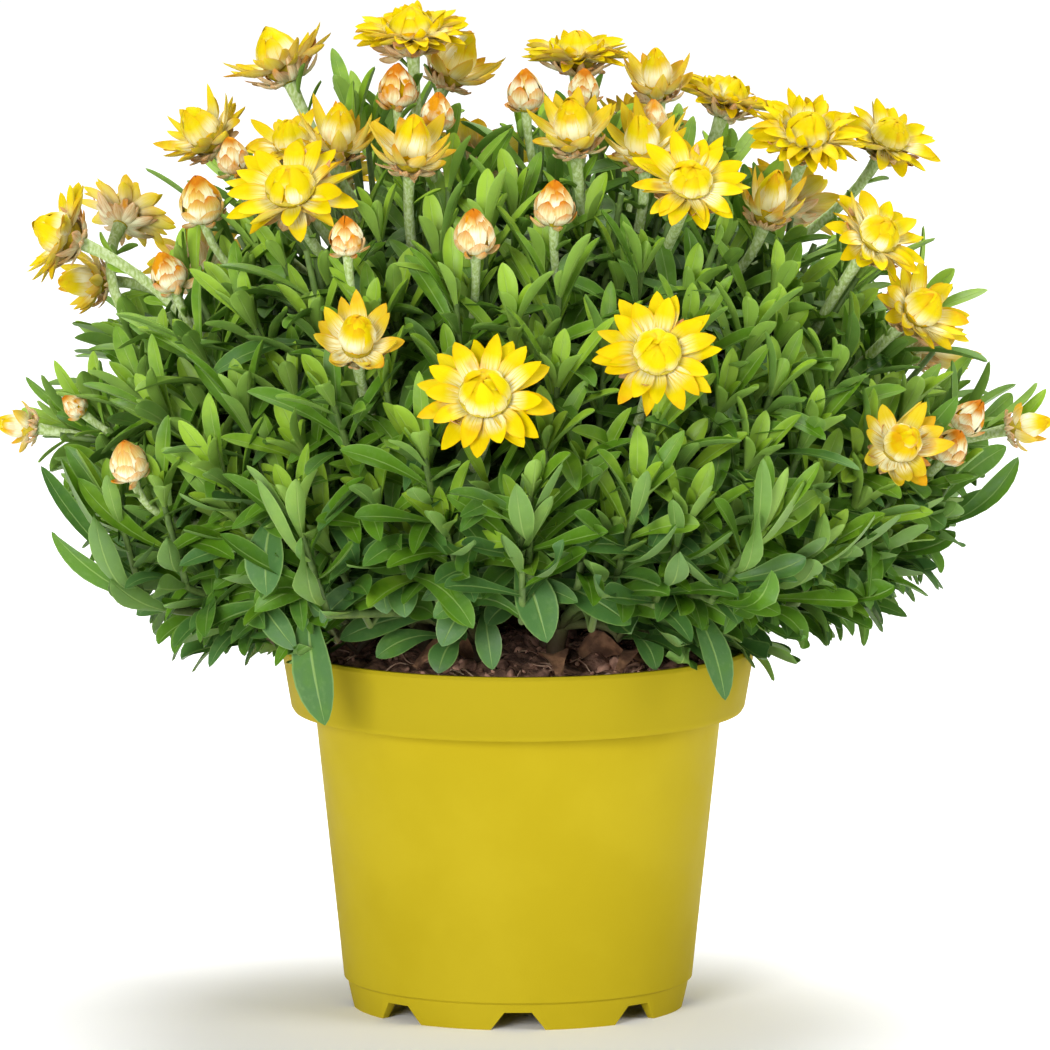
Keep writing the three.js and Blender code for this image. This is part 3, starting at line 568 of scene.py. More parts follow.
def grow_shoots():
    """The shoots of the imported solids, as many more between them as the crown has room for, and inner ones"""
    shoots = []
    for number in range(CAD_SHOOTS):
        draw = dice(number)
        sine = spiral_sine(number, CAD_SHOOTS)
        turn = number * GOLDEN_ANGLE + 0.3 * (draw() - 0.5)
        reach = 1 + 0.12 * (draw() - 0.5)
        waver = draw() - 0.5
        shoots.append(crown_shoot(sine, turn, reach, waver, draw() * 2 * math.pi))
    rng = np.random.default_rng(21)
    for _ in range(MORE_TIPS):
        sine = rng.uniform(math.sin(math.radians(LOWEST_TIP - 4)), 0.99)
        turn = rng.uniform(0, 2 * math.pi)
        reach, waver, phase = rng.uniform(*TIP_REACH), rng.uniform(-0.5, 0.5), rng.uniform(0, 2 * math.pi)
        spot = crown_point(sine, turn, reach)
        if np.linalg.norm(np.array([shoot["tip"] for shoot in shoots]) - spot, axis=1).min() > TIP_ROOM:
            shoots.append(crown_shoot(sine, turn, reach, waver, phase))
    for number in range(INNER_SHOOTS):
        sine, turn = spiral_sine(number, INNER_SHOOTS), number * GOLDEN_ANGLE
        shoots.append(crown_shoot(sine, turn, rng.uniform(*INNER_REACH), 0, number) | {"inner": True})
    return shoots


def grow_stalk(place, face, size, openness):
    """A flower stalk from the heart of its stem, straight into the back of its head"""
    axis, centre = heading(face), seen(place)
    base = centre - axis * (head_depth(size, openness) + SEAT_GAP)
    stem = stem_for(base)
    reach = np.linalg.norm(base - stem["heart"])
    root = lerp(stem["heart"], base, 0.05)
    path = bowed(root, base - axis * 0.42 * reach, base, STALK_POINTS)
    radii = np.full(STALK_POINTS, STALK_RADIUS)
    radii[-len(STALK_NECK):] = STALK_NECK
    return {"stem": stem, "path": path, "radii": radii * min(1, 0.55 + size / 50), "axis": axis,
            "centre": centre, "size": size}


STEMS = plan_stems()
shoots = grow_shoots()
stalks = [grow_stalk(*head) for head in HEADS.values()]
stalks += [grow_stalk(*bud, 0) for bud in SMALL_BUDS]
for number, stalk in enumerate(stalks):
    if stalk["centre"][2] < NESTLED_BELOW:
        level = unit(np.cross(stalk["axis"], UP))
        for side in (-1, 1):
            tip = stalk["path"][-1] - stalk["axis"] * (9 + 3 * side) + level * NESTLED_ASIDE * side
            shoots.append(leafy_shoot(tip, stalk["axis"], number + side, 0.1))

stem_finish, tree, shader = new_finish("green stem")
coords = lie(tree)
colour = blend(tree, eased(tree, speckle(tree, coords, 300), 0.3, 0.7), STEM_GREEN, STEM_LIGHT)
colour = blend(tree, eased(tree, parted(tree, coords)["Z"], *WOODY_BELOW), colour, STEM_WOOD)
coat(tree, shader, colour, 0.6)
relief(tree, shader, speckle(tree, coords, 900), 0.4, 0.0004)

felt_finish, tree, shader = new_finish("felted stalk")
streaks = node(tree, "Mapping", {"Vector": lie(tree), "Scale": (1, 1, 0.5)}).outputs["Vector"]
colour = blend(tree, eased(tree, speckle(tree, streaks, 1400), 0.35, 0.65), FELT_GREEN, FELT_PALE)
coat(tree, shader, colour, 0.8, 0.2)
relief(tree, shader, speckle(tree, streaks, 2600), 0.5, 0.0003)

for stem in STEMS:
    show(stem["name"] + "_shoots", tubes(stem["name"] + " shoots", stem["runs"]), stem_finish,
         [stem["name"]])
show("flower_stalks", tubes("flower stalks", [(s["path"], s["radii"]) for s in stalks], 3), felt_finish)

# Leaves: narrow soft blades that clasp the shoots in close spirals, the oldest at the foot of a shoot, long
# and folded down, the youngest upright in a tuft at its tip. Pale midribs, and greyer undersides.
HEAD_CENTRES = np.array([stalk["centre"] for stalk in stalks])
HEAD_AXES = np.array([stalk["axis"] for stalk in stalks])
HEAD_SIZES = np.array([[stalk["size"]] for stalk in stalks])
HEAD_VIEWS = unit(EYE_MM - HEAD_CENTRES)
HEAD_ROOM, HEAD_BEHIND, HEAD_AHEAD, HEAD_SIGHT = (share * HEAD_SIZES for share in (0.44, -0.3, 0.9, 2.5))
STALK_SPOTS = np.array([stalk["path"][-1] - stalk["axis"] * stalk["size"] * share
                        for stalk in stalks for share in (0.15, 0.35, 0.55, 0.75)])
STALK_VIEWS = unit(EYE_MM - STALK_SPOTS)
STALK_ROOM, STALK_SIGHT = 3.2, 60
LEAVES_ON_SHOOT, TUFT_LEAVES = 12, 6
LEAF_LENGTH, LEAF_WIDTH, LEAF_THICKNESS = (37, 25), (9.6, 6.4), 0.5
LEAF_OPENING, LEAF_CURL, LEAF_DROOP = (66, 20), (34, 16), 9
TUFT_LENGTH, TUFT_WIDTH, TUFT_OPENING = (21, 9), (5.5, 2.6), (22, 6)
HANG_FADES = (-0.1, 0.3)
LOWEST_LEAF, HEM_WAVE, HEM_LIFT, HEM_REACH, HEM_SLOPE = 106, 3, 15, 102, 1.5
COVERED_BELOW, COVER_DROP, COVER_LENGTH, COVER_WIDTH = 0.3, 10, (22, 34), (5.5, 8)
STALK_LEAF_STEPS, STALK_LEAF_LENGTH, STALK_LEAF_WIDTH = (10, 11, 12), (7, 13), (2, 3)
SOIL_GAPS = ((10, 100, 20, 11), (-37, 101, 13, 9))
HANGING_LEAVES = (
    ((-57, 113, 60), (-53, 77, 68), 12.5), ((46, 112, 58), (57, 84, 64), 10.5),
    ((-66, 136, 84), (-69, 113, 92), 12), ((0, 125, 84), (8, 100, 96), 11), ((8, 117, 76), (31, 105, 88), 10),
    ((-54, 126, 66), (-53, 104, 74), 7), ((-11, 113, 66), (-21, 99, 76), 8.5),
    ((-9, 109, 56), (-7, 92.5, 62), 7), ((-16, 101, 44), (-22, 91.5, 55), 8),
    ((-21, 108, 50), (-49, 101, 52), 8), ((-22, 102, 46), (-39, 96, 52), 7.5),
    ((30, 103, 46), (38, 92.5, 51), 8.5), ((-36, 122, 70), (-36, 108, 80), 8.5),
    ((-30, 120, 72), (-31, 107, 84), 8.5), ((37, 129, 78), (50, 122, 90), 9.5),
    ((-71, 113, 54), (-61, 98, 66), 7.5),
)
DEAD_LEAVES = (
    ((32, -37), 60, 19), ((24, -24), 150, 18), ((-20, -38), 20, 17), ((10, -44), 100, 15), ((-6, 22), 40, 20),
    ((40, 20), 10, 18), ((-44, 12), 75, 20),
)
DEAD_BROWN = (0.10, 0.045, 0.022, 1)
DEAD_TAN = (0.30, 0.15, 0.075, 1)
# The first colour is painted shade, for the leaves of the inner shoots and deep in the crown.
LEAF_PAINTED_SHADE = (0.014, 0.045, 0.005, 1)
# Painted shade deep in the crown: its strength, the reach over which it fades, and how much faster the reach
# grows below the centre.
DEEP_SHADE, SHADE_FADES, BELOW_CENTRE = 0.8, (0.58, 0.9), 1.9
LEAF_OLD = (0.066, 0.175, 0.038, 1)
LEAF_GREEN = (0.100, 0.245, 0.006, 1)
LEAF_YOUNG = (0.350, 0.560, 0.035, 1)
LEAF_RIB = (0.42, 0.60, 0.16, 1)
LEAF_UNDER = (0.21, 0.35, 0.10, 1)
LEAF_GLOW = (0.30, 0.48, 0.03, 1)


def blade(name, faces_across, faces_along):
    """A flat blade, closed to a lens: 1 wide in X, 1 long in Y to its pointed tip, and its underside, whose
    UVs lie beside the top's, at -1 in Z except along the rim."""
    bm = bmesh.new()
    uv = bm.loops.layers.uv.verify()
    bmesh.ops.create_grid(bm, x_segments=faces_across, y_segments=faces_along, size=0.5, calc_uvs=True)
    for vert in bm.verts:
        vert.co.y = 0.5 - (0.5 - vert.co.y) ** 1.5
    tip = [v for v in bm.verts if v.co.y > 0.499]
    bmesh.ops.pointmerge(bm, verts=tip, merge_co=(0, 0.5, 0))
    copied = bmesh.ops.duplicate(bm, geom=bm.verts[:] + bm.edges[:] + bm.faces[:])
    under = [f for f in copied["geom"] if isinstance(f, bmesh.types.BMFace)]
    bmesh.ops.reverse_faces(bm, faces=under)
    for face in under:
        for loop in face.loops:
            loop[uv].uv.x += 1
    inside = {v for f in under for v in f.verts if not v.is_boundary}
    for vert in inside:
        vert.co.z = -1
    bmesh.ops.remove_doubles(bm, verts=[v for v in bm.verts if v not in inside], dist=1e-5)
    under = set(under)
    for edge in bm.edges:
        edge.smooth = sum(face in under for face in edge.link_faces) != 1
    return settled(name, bm)


def columns(rows):
    """What the rows hold under each name, as arrays"""
    return {name: np.array([row[name] for row in rows], dtype=float) for name in rows[0]}


def planted(name, form, outline, thick, start, middle, end, facing, width, fold=0, hollow=0, twist=0,
            **traits):
    """One mesh with a copy of the blade on each midline, bowed from its start to its end and all given in
    millimetres. A trait is a number for each copy, which the finish reads."""
    count = len(start)
    bm = bmesh.new()
    for _ in range(count):
        bm.from_mesh(form)
    mesh = bpy.data.meshes.new(name)
    bm.to_mesh(mesh)
    bm.free()
    place = np.empty(3 * len(mesh.vertices))
    mesh.vertices.foreach_get("co", place)
    across, along, under = np.moveaxis(place.reshape(count, -1, 3), 2, 0)
    across, along = across * 2, along + 0.5
    start, middle, end, facing = (part[:, None] for part in (start, middle, end, facing))
    width, fold, hollow, twist = (
        np.broadcast_to(part, count)[:, None] for part in (width, fold, hollow, twist))
    v = along[..., None]
    point = (1 - v) ** 2 * start + 2 * v * (1 - v) * middle + v ** 2 * end
    tangent = unit((1 - v) * (middle - start) + v * (end - middle) + 1e-9)
    outward = unit(facing - tangent * (facing * tangent).sum(-1, keepdims=True))
    side = np.cross(tangent, outward)
    turn = (twist * along)[..., None]
    side, outward = (side * np.cos(turn) + outward * np.sin(turn),
                     outward * np.cos(turn) - side * np.sin(turn))
    half = outline(along) * width / 2
    offset = across * half
    lift = fold * np.abs(offset) + hollow * offset ** 2 + thick * under * (1 - 0.55 * np.abs(across))
    point = point + side * offset[..., None] + outward * lift[..., None]
    mesh.vertices.foreach_set("co", (point * MM).ravel())
    for trait, values in traits.items():
        layer = mesh.attributes.new(trait, "FLOAT", "POINT")
        layer.data.foreach_set("value", np.repeat(values, across.shape[1]))
    mesh.update()
    return mesh


def leaf_outline(along):
    """The share of its full width that a leaf has along its length: a narrow foot, and a blunt tip"""
    return np.interp(along, (0, 0.16, 0.31, 0.46, 0.59, 0.7, 0.81, 0.9, 0.963, 1),
                     (0.25, 0.36, 0.55, 0.80, 0.97, 1, 0.88, 0.63, 0.34, 0))


def in_the_way(points):
    """Whether a leaf's points stand in front of a head, along its face or in the eye's view of it, or hide
    the top of a stalk from the eye"""
    for spots, line, room, near, far in (
            (HEAD_CENTRES, HEAD_AXES, HEAD_ROOM, HEAD_BEHIND, HEAD_AHEAD),
            (HEAD_CENTRES, HEAD_VIEWS, HEAD_ROOM, 0, HEAD_SIGHT),
            (STALK_SPOTS, STALK_VIEWS, STALK_ROOM, 0, STALK_SIGHT)):
        apart = points - spots[:, None]
        ahead = (apart * line[:, None]).sum(-1)
        aside = np.linalg.norm(apart - ahead[..., None] * line[:, None], axis=-1)
        if ((aside < room) & (ahead > near) & (ahead < far)).any():
            return True
    return False


def over_soil(points):
    """Whether a leaf's points hide one of the gaps under the crown where the soil shows. A gap is its middle
    and its half width and height, in millimetres, as the eye sees it in the upright plane."""
    if points[:, 1].min() >= 0:
        return False
    across, _, up = (EYE_MM + (points - EYE_MM) * (EYE_MM[1] / (EYE_MM[1] - points[:, 1:2]))).T
    return any(np.hypot((across - x) / wide, (up - z) / high).min() < 1 for x, z, wide, high in SOIL_GAPS)


def add_leaf(stem, start, middle, end, facing, width, age, tone, fold, twist, kept=False):
    """Gives a stem a leaf, unless it would hide what has to show and isn't kept anyway"""
    points = bowed(start, middle, end, 8)[1:]
    if kept or not in_the_way(points) and not over_soil(points):
        stem["leaves"].append({"start": start, "middle": middle, "end": end, "facing": facing, "width": width,
                               "fold": fold, "twist": twist, "age": age, "tone": tone})


def hem_height(point):
    """How low a leaf may hang: lower beside the pot than in front of it, and higher further out"""
    compass, level = math.atan2(point[1], point[0]), math.hypot(point[0], point[1])
    hem = LOWEST_LEAF + HEM_WAVE * math.sin(5 * compass) + HEM_LIFT * in_front(compass)
    return hem + HEM_SLOPE * max(0, level - HEM_REACH)


def leaf_on(shoot, age, around, length, opening, curl, width, droop, tone, fold, twist):
    """Plants one leaf on a shoot, by its age from 0 for the oldest to 1 for the youngest"""
    axis = shoot["aim"]
    level = unit(np.cross(axis, UP))
    third = np.cross(axis, level)
    side = level * math.cos(around) + third * math.sin(around)
    start = lerp(shoot["elbow"], shoot["tip"], lerp(0.04, 0.93, age))
    middle = start + (axis * math.cos(opening) + side * math.sin(opening)) * length / 2
    away = axis * math.cos(curl) + side * math.sin(curl)
    outward = unit(middle * (1, 1, 0))
    hang = np.interp(shoot["height"], HANG_FADES, (1.0, 0)) * (1 - age) * (0.55 + 0.45 * (side @ outward))
    end = middle + unit(lerp(away, 0.25 * outward - UP, hang)) * length / 2 - UP * droop * (1 - hang)
    lowest = hem_height(end)
    if end[2] < lowest:
        end = lerp(end, middle, np.clip((lowest - end[2]) / (abs(middle[2] - end[2]) + 1), 0, 0.4))
        end[2] = max(end[2], lerp(end[2], lowest, 0.7))
    facing = axis * math.sin(curl) - side * math.cos(opening) + outward * hang * 0.8
    add_leaf(shoot["stem"], start, middle, end, facing, width, age, tone, fold, twist)


def cover_branch(shoot, rng):
    """Hangs old leaves along the branch of a low shoot, which hide its bare wood"""
    branch = shoot["branch"]
    across = unit(np.cross(branch[-1] - branch[0], UP))
    for spot in branch[2:]:
        front = in_front(math.atan2(spot[1], spot[0]))
        outward = unit(spot * (1, 1, 0))
        side = across * (rng.uniform(-1, 1) + rng.choice((-1, 1)) * front)
        length = rng.uniform(*COVER_LENGTH)
        middle = spot + unit(0.7 * outward + side + rng.uniform(0, 0.6) * UP) * length / 2
        sag = rng.uniform(0.2, 1.2) * (1 - 0.6 * front) * UP
        end = middle + unit(0.4 * outward + 0.7 * side - sag) * length / 2
        end[2] = max(end[2], lerp(end[2], hem_height(end) - COVER_DROP, 0.8))
        if rng.uniform(0, 1) > 0.7 * front:
            add_leaf(shoot["stem"], spot, middle, end, outward + 0.6 * UP, rng.uniform(*COVER_WIDTH), 0.1,
                     rng.uniform(0.1, 0.8), rng.uniform(0.1, 0.4), rng.uniform(-0.5, 0.5))


def lay_dead_leaves():
    """A few curled brown leaves on the soil"""
    rng = np.random.default_rng(13)
    rows = []
    for (x, y), turn, length in DEAD_LEAVES:
        run = level_way(math.radians(turn)) * length / 2
        start, end = (np.array([x, y, 0]) + run * way for way in (-1, 1))
        for spot in (start, end):
            spot[2] = soil_height(spot[0], spot[1]) + 2.2
        middle = lerp(start, end, 0.5) + UP * rng.uniform(6, 10)
        rows.append({"start": start, "middle": middle, "end": end, "facing": UP + rng.uniform(-0.6, 0.6, 3)})
    return planted("dead leaves", leaf_form, leaf_outline, 0.4, **columns(rows), width=8.5, fold=-0.2,
                   hollow=0.12, twist=rng.uniform(-1.2, 1.2, len(rows)))


def cover_shoot(number, shoot, rng):
    """Sets a shoot's leaves in a close spiral up to its tip, and a tuft of young ones on the tip"""
    inner = "inner" in shoot
    # Inner shoots are toned far down: painted shade that darkens the gaps deep in the crown.
    shoot_tone_and_shade = rng.uniform(-0.22, 0.22) + 0.12 * shoot["height"] - 0.8 * inner
    breadth = np.interp(shoot["height"], (-0.4, 0.1, 1), (1.0, 0.82, 0.7))
    for rank in range(0, LEAVES_ON_SHOOT, 2 if inner else 1):
        draw = dice(1000 + number * 20 + rank)
        age = rank / (LEAVES_ON_SHOOT - 1)
        length = lerp(*LEAF_LENGTH, age) * (0.86 + 0.28 * draw())
        opening = math.radians(lerp(*LEAF_OPENING, age) + 16 * (draw() - 0.5))
        curl = opening + math.radians(lerp(*LEAF_CURL, age))
        leaf_on(shoot, age, shoot["phase"] + rank * GOLDEN_ANGLE, length, opening, curl,
                lerp(*LEAF_WIDTH, age) * breadth * rng.uniform(0.8, 1.05), LEAF_DROOP * (1 - age) ** 2,
                0.5 + shoot_tone_and_shade + rng.uniform(-0.32, 0.32), rng.uniform(0.2, 0.6), rng.uniform(-0.5, 0.5))
    for rank in range(0 if inner else TUFT_LEAVES):
        share = rank / (TUFT_LEAVES - 1)
        opening = math.radians(lerp(*TUFT_OPENING, share) + rng.uniform(-4, 4))
        leaf_on(shoot, 1, shoot["phase"] + (LEAVES_ON_SHOOT + rank) * GOLDEN_ANGLE,
                lerp(*TUFT_LENGTH, share) * rng.uniform(0.85, 1.1), opening, opening * 1.5,
                lerp(*TUFT_WIDTH, share), 0, 0.75 + shoot_tone_and_shade + rng.uniform(-0.15, 0.2),
                rng.uniform(0.4, 0.7), 0)


def cover_stalk(stalk, rng):
    """Sets a few small leaves on a stalk, close under its head"""
    axis = stalk["axis"]
    level = unit(np.cross(axis, UP + (0.01, 0, 0)))
    for step in STALK_LEAF_STEPS:
        start = stalk["path"][step - rng.integers(0, 3)]
        around = rng.uniform(0, 2 * math.pi)
        side = level * math.cos(around) + np.cross(axis, level) * math.sin(around)
        length = rng.uniform(*STALK_LEAF_LENGTH)
        middle = start + (axis * 0.8 + side * 0.6) * length / 2
        end = middle + (axis * 0.6 + side * 0.8) * length / 2
        add_leaf(stalk["stem"], start, middle, end, axis * 0.7 - side * 0.7, rng.uniform(*STALK_LEAF_WIDTH),
                 0.9, rng.uniform(0.5, 0.9), 0.4, 0, kept=True)


def grow_leaves():
    rng = np.random.default_rng(31)
    for number, shoot in enumerate(shoots):
        cover_shoot(number, shoot, rng)
    for shoot in shoots:
        if shoot["height"] < COVERED_BELOW and "inner" not in shoot:
            cover_branch(shoot, rng)
    for stalk in stalks:
        cover_stalk(stalk, rng)
    for root, tip, width in HANGING_LEAVES:
        start, end = seen(root), seen(tip)
        outward = unit(start * (1, 1, 0))
        middle = lerp(start, end, 0.4) + outward * 5 + UP * 4
        add_leaf(stem_for(start), start, middle, end, outward + UP * 0.6, width * 1.05, 0, 0.3, 0.14, 0.1,
                 kept=True)


def blade_map(tree):
    """Whether a point is on a blade's underside, how far it lies from the midrib, and how far up the blade"""
    uv = parted(tree, lie(tree, "UV"))
    from_rib = calc(tree, "ABSOLUTE", calc(tree, "SUBTRACT", calc(tree, "FRACT", uv["X"]), 0.5))
    return calc(tree, "GREATER_THAN", uv["X"], 1.0), from_rib, uv["Y"]


def trait(tree, name):
    return node(tree, "Attribute", attribute_name=name).outputs["Fac"]


def times(tree, first, second):
    return calc(tree, "MULTIPLY", first, second)


def let_light_through(tree, shader, share, colour):
    glow = node(tree, "BsdfTranslucent", {"Color": colour})
    both = node(tree, "MixShader", {0: share, 1: shader.outputs["BSDF"], 2: glow.outputs["BSDF"]})
    tree.links.new(both.outputs["Shader"], tree.nodes["Material Output"].inputs["Surface"])


grow_leaves()
leaf_form = blade("leaf form", 2, 10)

leaf_finish, tree, shader = new_finish("leaf")
coords = lie(tree)
under, from_rib, along = blade_map(tree)
patches = speckle(tree, coords, 160)
leaf_tone_and_shade = calc(tree, "ADD", times(tree, trait(tree, "age"), 0.45), times(tree, trait(tree, "tone"), 0.55))
leaf_tone_and_shade = calc(tree, "ADD", leaf_tone_and_shade, times(tree, calc(tree, "SUBTRACT", patches, 0.5), 0.5))
# The lowest tones, which the inner shoots reach, are painted shade. The others are the leaves' own age and
# tone.
colour = blend(tree, eased(tree, leaf_tone_and_shade, -0.35, 0.1), LEAF_PAINTED_SHADE, LEAF_OLD)
colour = blend(tree, eased(tree, leaf_tone_and_shade, 0.1, 0.5), colour, LEAF_GREEN)
colour = blend(tree, eased(tree, leaf_tone_and_shade, 0.5, 1.0), colour, LEAF_YOUNG)
rib_width = calc(tree, "SUBTRACT", 0.05, times(tree, along, 0.04))
rib = eased(tree, calc(tree, "SUBTRACT", from_rib, rib_width), -0.015, 0.015, 1, 0)
down = eased(tree, speckle(tree, coords, 520, 4), 0.5, 0.75, 0, 0.22)
margin = eased(tree, from_rib, 0.44, 0.49, 0, 0.3)
colour = blend(tree, down, colour, LEAF_UNDER)
colour = blend(tree, times(tree, under, 0.5), colour, LEAF_UNDER)
colour = blend(tree, calc(tree, "MAXIMUM", times(tree, rib, 0.42), margin), colour, LEAF_RIB)
# Painted shade: leaves deep in the crown are painted darker, as if in its shadow. The reach is 0 at the crown's
# centre and 1 at its tips.
place = node(tree, "Mapping", {"Vector": coords, "Location": (0, 0, -CROWN_CENTRE / TIP_RISE),
                               "Scale": (1 / TIP_SPREAD / MM, 1 / TIP_SPREAD / MM, 1 / TIP_RISE / MM)})
place = parted(tree, place.outputs["Vector"])
height = calc(tree, "MAXIMUM", place["Z"], times(tree, place["Z"], -BELOW_CENTRE))
place = node(tree, "CombineXYZ", {"X": place["X"], "Y": place["Y"], "Z": height}).outputs["Vector"]
reach = node(tree, "VectorMath", {0: place}, operation="LENGTH").outputs["Value"]
colour = blend(tree, eased(tree, reach, *SHADE_FADES, DEEP_SHADE, 0), colour, LEAF_PAINTED_SHADE)
coat(tree, shader, colour, eased(tree, patches, 0.3, 0.7, 0.42, 0.6), 0.45)
grain = times(tree, speckle(tree, coords, 1100), 0.5)
relief(tree, shader, calc(tree, "SUBTRACT", grain, rib), 0.5, 0.0003)
let_light_through(tree, shader, 0.28, blend(tree, 0.35, colour, LEAF_GLOW))

for stem in STEMS:
    name = stem["name"]
    mesh = planted(name + " leaves", leaf_form, leaf_outline, LEAF_THICKNESS, **columns(stem["leaves"]))
    show(name + "_leaves", mesh, leaf_finish, [name])

dead_finish, tree, shader = new_finish("dead leaf")
coords = lie(tree)
colour = blend(tree, eased(tree, speckle(tree, coords, 240, 4), 0.35, 0.65), DEAD_BROWN, DEAD_TAN)
coat(tree, shader, colour, 0.8)
relief(tree, shader, speckle(tree, coords, 900, 5), 0.7, 0.0004)
show("dead_leaves", lay_dead_leaves(), dead_finish)

# Heads: stiff papery bracts that overlap in rings on a small cushion. Short tan scales line the back, long
# pointed rays spread round the face, and the inner bracts close to a dome over the florets.
BRACT_YELLOW = (0.77, 0.665, 0.001, 1)
BRACT_DEEP = (0.77, 0.565, 0.001, 1)
# The orange of the margins is partly the bracts' own tint, partly painted shade along their seams.
BRACT_EDGE_AND_SEAM_SHADE = (0.80, 0.42, 0.001, 1)
BRACT_CREAM = (0.97, 0.95, 0.68, 1)
BRACT_SPOT = (0.72, 0.31, 0.004, 1)
BRACT_BLUSH = (0.60, 0.19, 0.005, 1)
PAPER_TAN = (0.70, 0.45, 0.16, 1)
PAPER_CREAM = (0.95, 0.82, 0.55, 1)
BRACT_THICKNESS = 0.3
CLOSED_BELOW, FULLY_OPEN, HALF_OPEN = 0.3, 0.9, 0.7
FACES_UP, SMALL_HEAD = 55, 17
SEAT_RADIUS = 1.9
EGG_HEIGHTS = (-0.6, -0.46, -0.28, -0.05, 0.18, 0.36, 0.5, 0.6)
EGG_RADII = np.array((0.2, 0.4, 0.49, 0.47, 0.34, 0.19, 0.08, 0.0))
EGG_SIDES = ((0.32, -0.52), (0.4, -0.28), (0.38, -0.05), (0.26, 0.18), (0, 0.42))
CUSHION_OLIVE_AND_SHADE = (0.11, 0.13, 0.015, 1)


def bract_outline(along):
    """The share of its full width that a ray has along its length: broad, with a drawn-out tip"""
    return np.interp(along, (0, 0.14, 0.3, 0.5, 0.68, 0.83, 0.93, 1),
                     (0.6, 0.8, 0.95, 1, 0.92, 0.66, 0.36, 0))


class Head:
    """A head's bracts about its own +Z, gathered ring by ring. Radii and heights are shares of its size."""

    def __init__(self, size, openness, seed):
        self.size, self.openness, self.bracts = size, openness, []
        self.rng = np.random.default_rng(seed)

    def mix(self, closed, flat):
        return lerp(closed, flat, self.openness ** 0.8)

    def ring(self, count, root, bow, tip, width, turn=0.0, hollow=1.0, inward=False, blush=0.3, cream=0.5,
             paper=0.0, loose=0.03, back=0.0):
        """Adds a ring of bracts from root by way of bow to tip, each a radius and a height. Loose is how far
        they stray, and back is how pale their undersides are."""
        for i in range(count):
            stray = self.rng.normal(0, 1, 6)
            out = level_way(2 * math.pi * (i + turn + 0.16 * stray[0]) / count)
            aside = np.cross(UP, out)
            start, middle, end = (out * r + UP * h for r, h in (root, bow, tip))
            middle = middle + UP * loose * 0.5 * stray[1]
            end = end + UP * loose * stray[2] + aside * loose * 0.8 * stray[3]
            end = end * (1 + loose * 0.9 * stray[4])
            facing = -out - 0.3 * UP if inward else 0.8 * UP - 0.6 * out
            self.bracts.append({
                "start": start * self.size, "middle": middle * self.size, "end": end * self.size,
                "facing": facing, "width": width * self.size * (1 + 0.08 * stray[5]),
                "hollow": hollow / (width * self.size), "twist": 0.35 * stray[3] * (not inward),
                "blush": max(0, blush + 0.2 * stray[1]), "cream": max(0, cream + 0.15 * stray[0]),
                "paper": paper, "tone": self.mix(0.35, 0.72) + 0.22 * stray[2], "back": back})

    def egg(self, counts, bottom, top, girth, paper, blush):
        """Wraps a closed bud in rings of scales that hug its egg, each ring higher than the last"""
        def hugging(height, proud=0.0):
            return np.array([np.interp(height, EGG_HEIGHTS, EGG_RADII * girth) + proud, height])

        for k, count in enumerate(counts):
            share = k / (len(counts) - 1)
            low, high = lerp(bottom, -0.05, share), lerp(-0.1, top, min(1, share * 1.25))
            root, tip = hugging(low), hugging(high, 0.02)
            bow = 2 * hugging(lerp(low, high, 0.5), 0.03) - (root + tip) / 2
            self.ring(count, root, bow, tip, lerp(0.56, 0.46, share) * girth, turn=0.5 * k, hollow=0.5,
                      inward=True, blush=blush * lerp(0.45, 1.6, share), cream=0.75,
                      paper=paper * (1 - 0.5 * share), loose=0.012)


def ray_plan(face, size, openness):
    """How many rays a layer has, and how many layers: the most on a flat head that looks up"""
    if openness > FULLY_OPEN and face[1] > FACES_UP:
        return 14, 3
    if openness > HALF_OPEN:
        return 11, 2
    return (5, 1) if size < SMALL_HEAD else (7, 2)


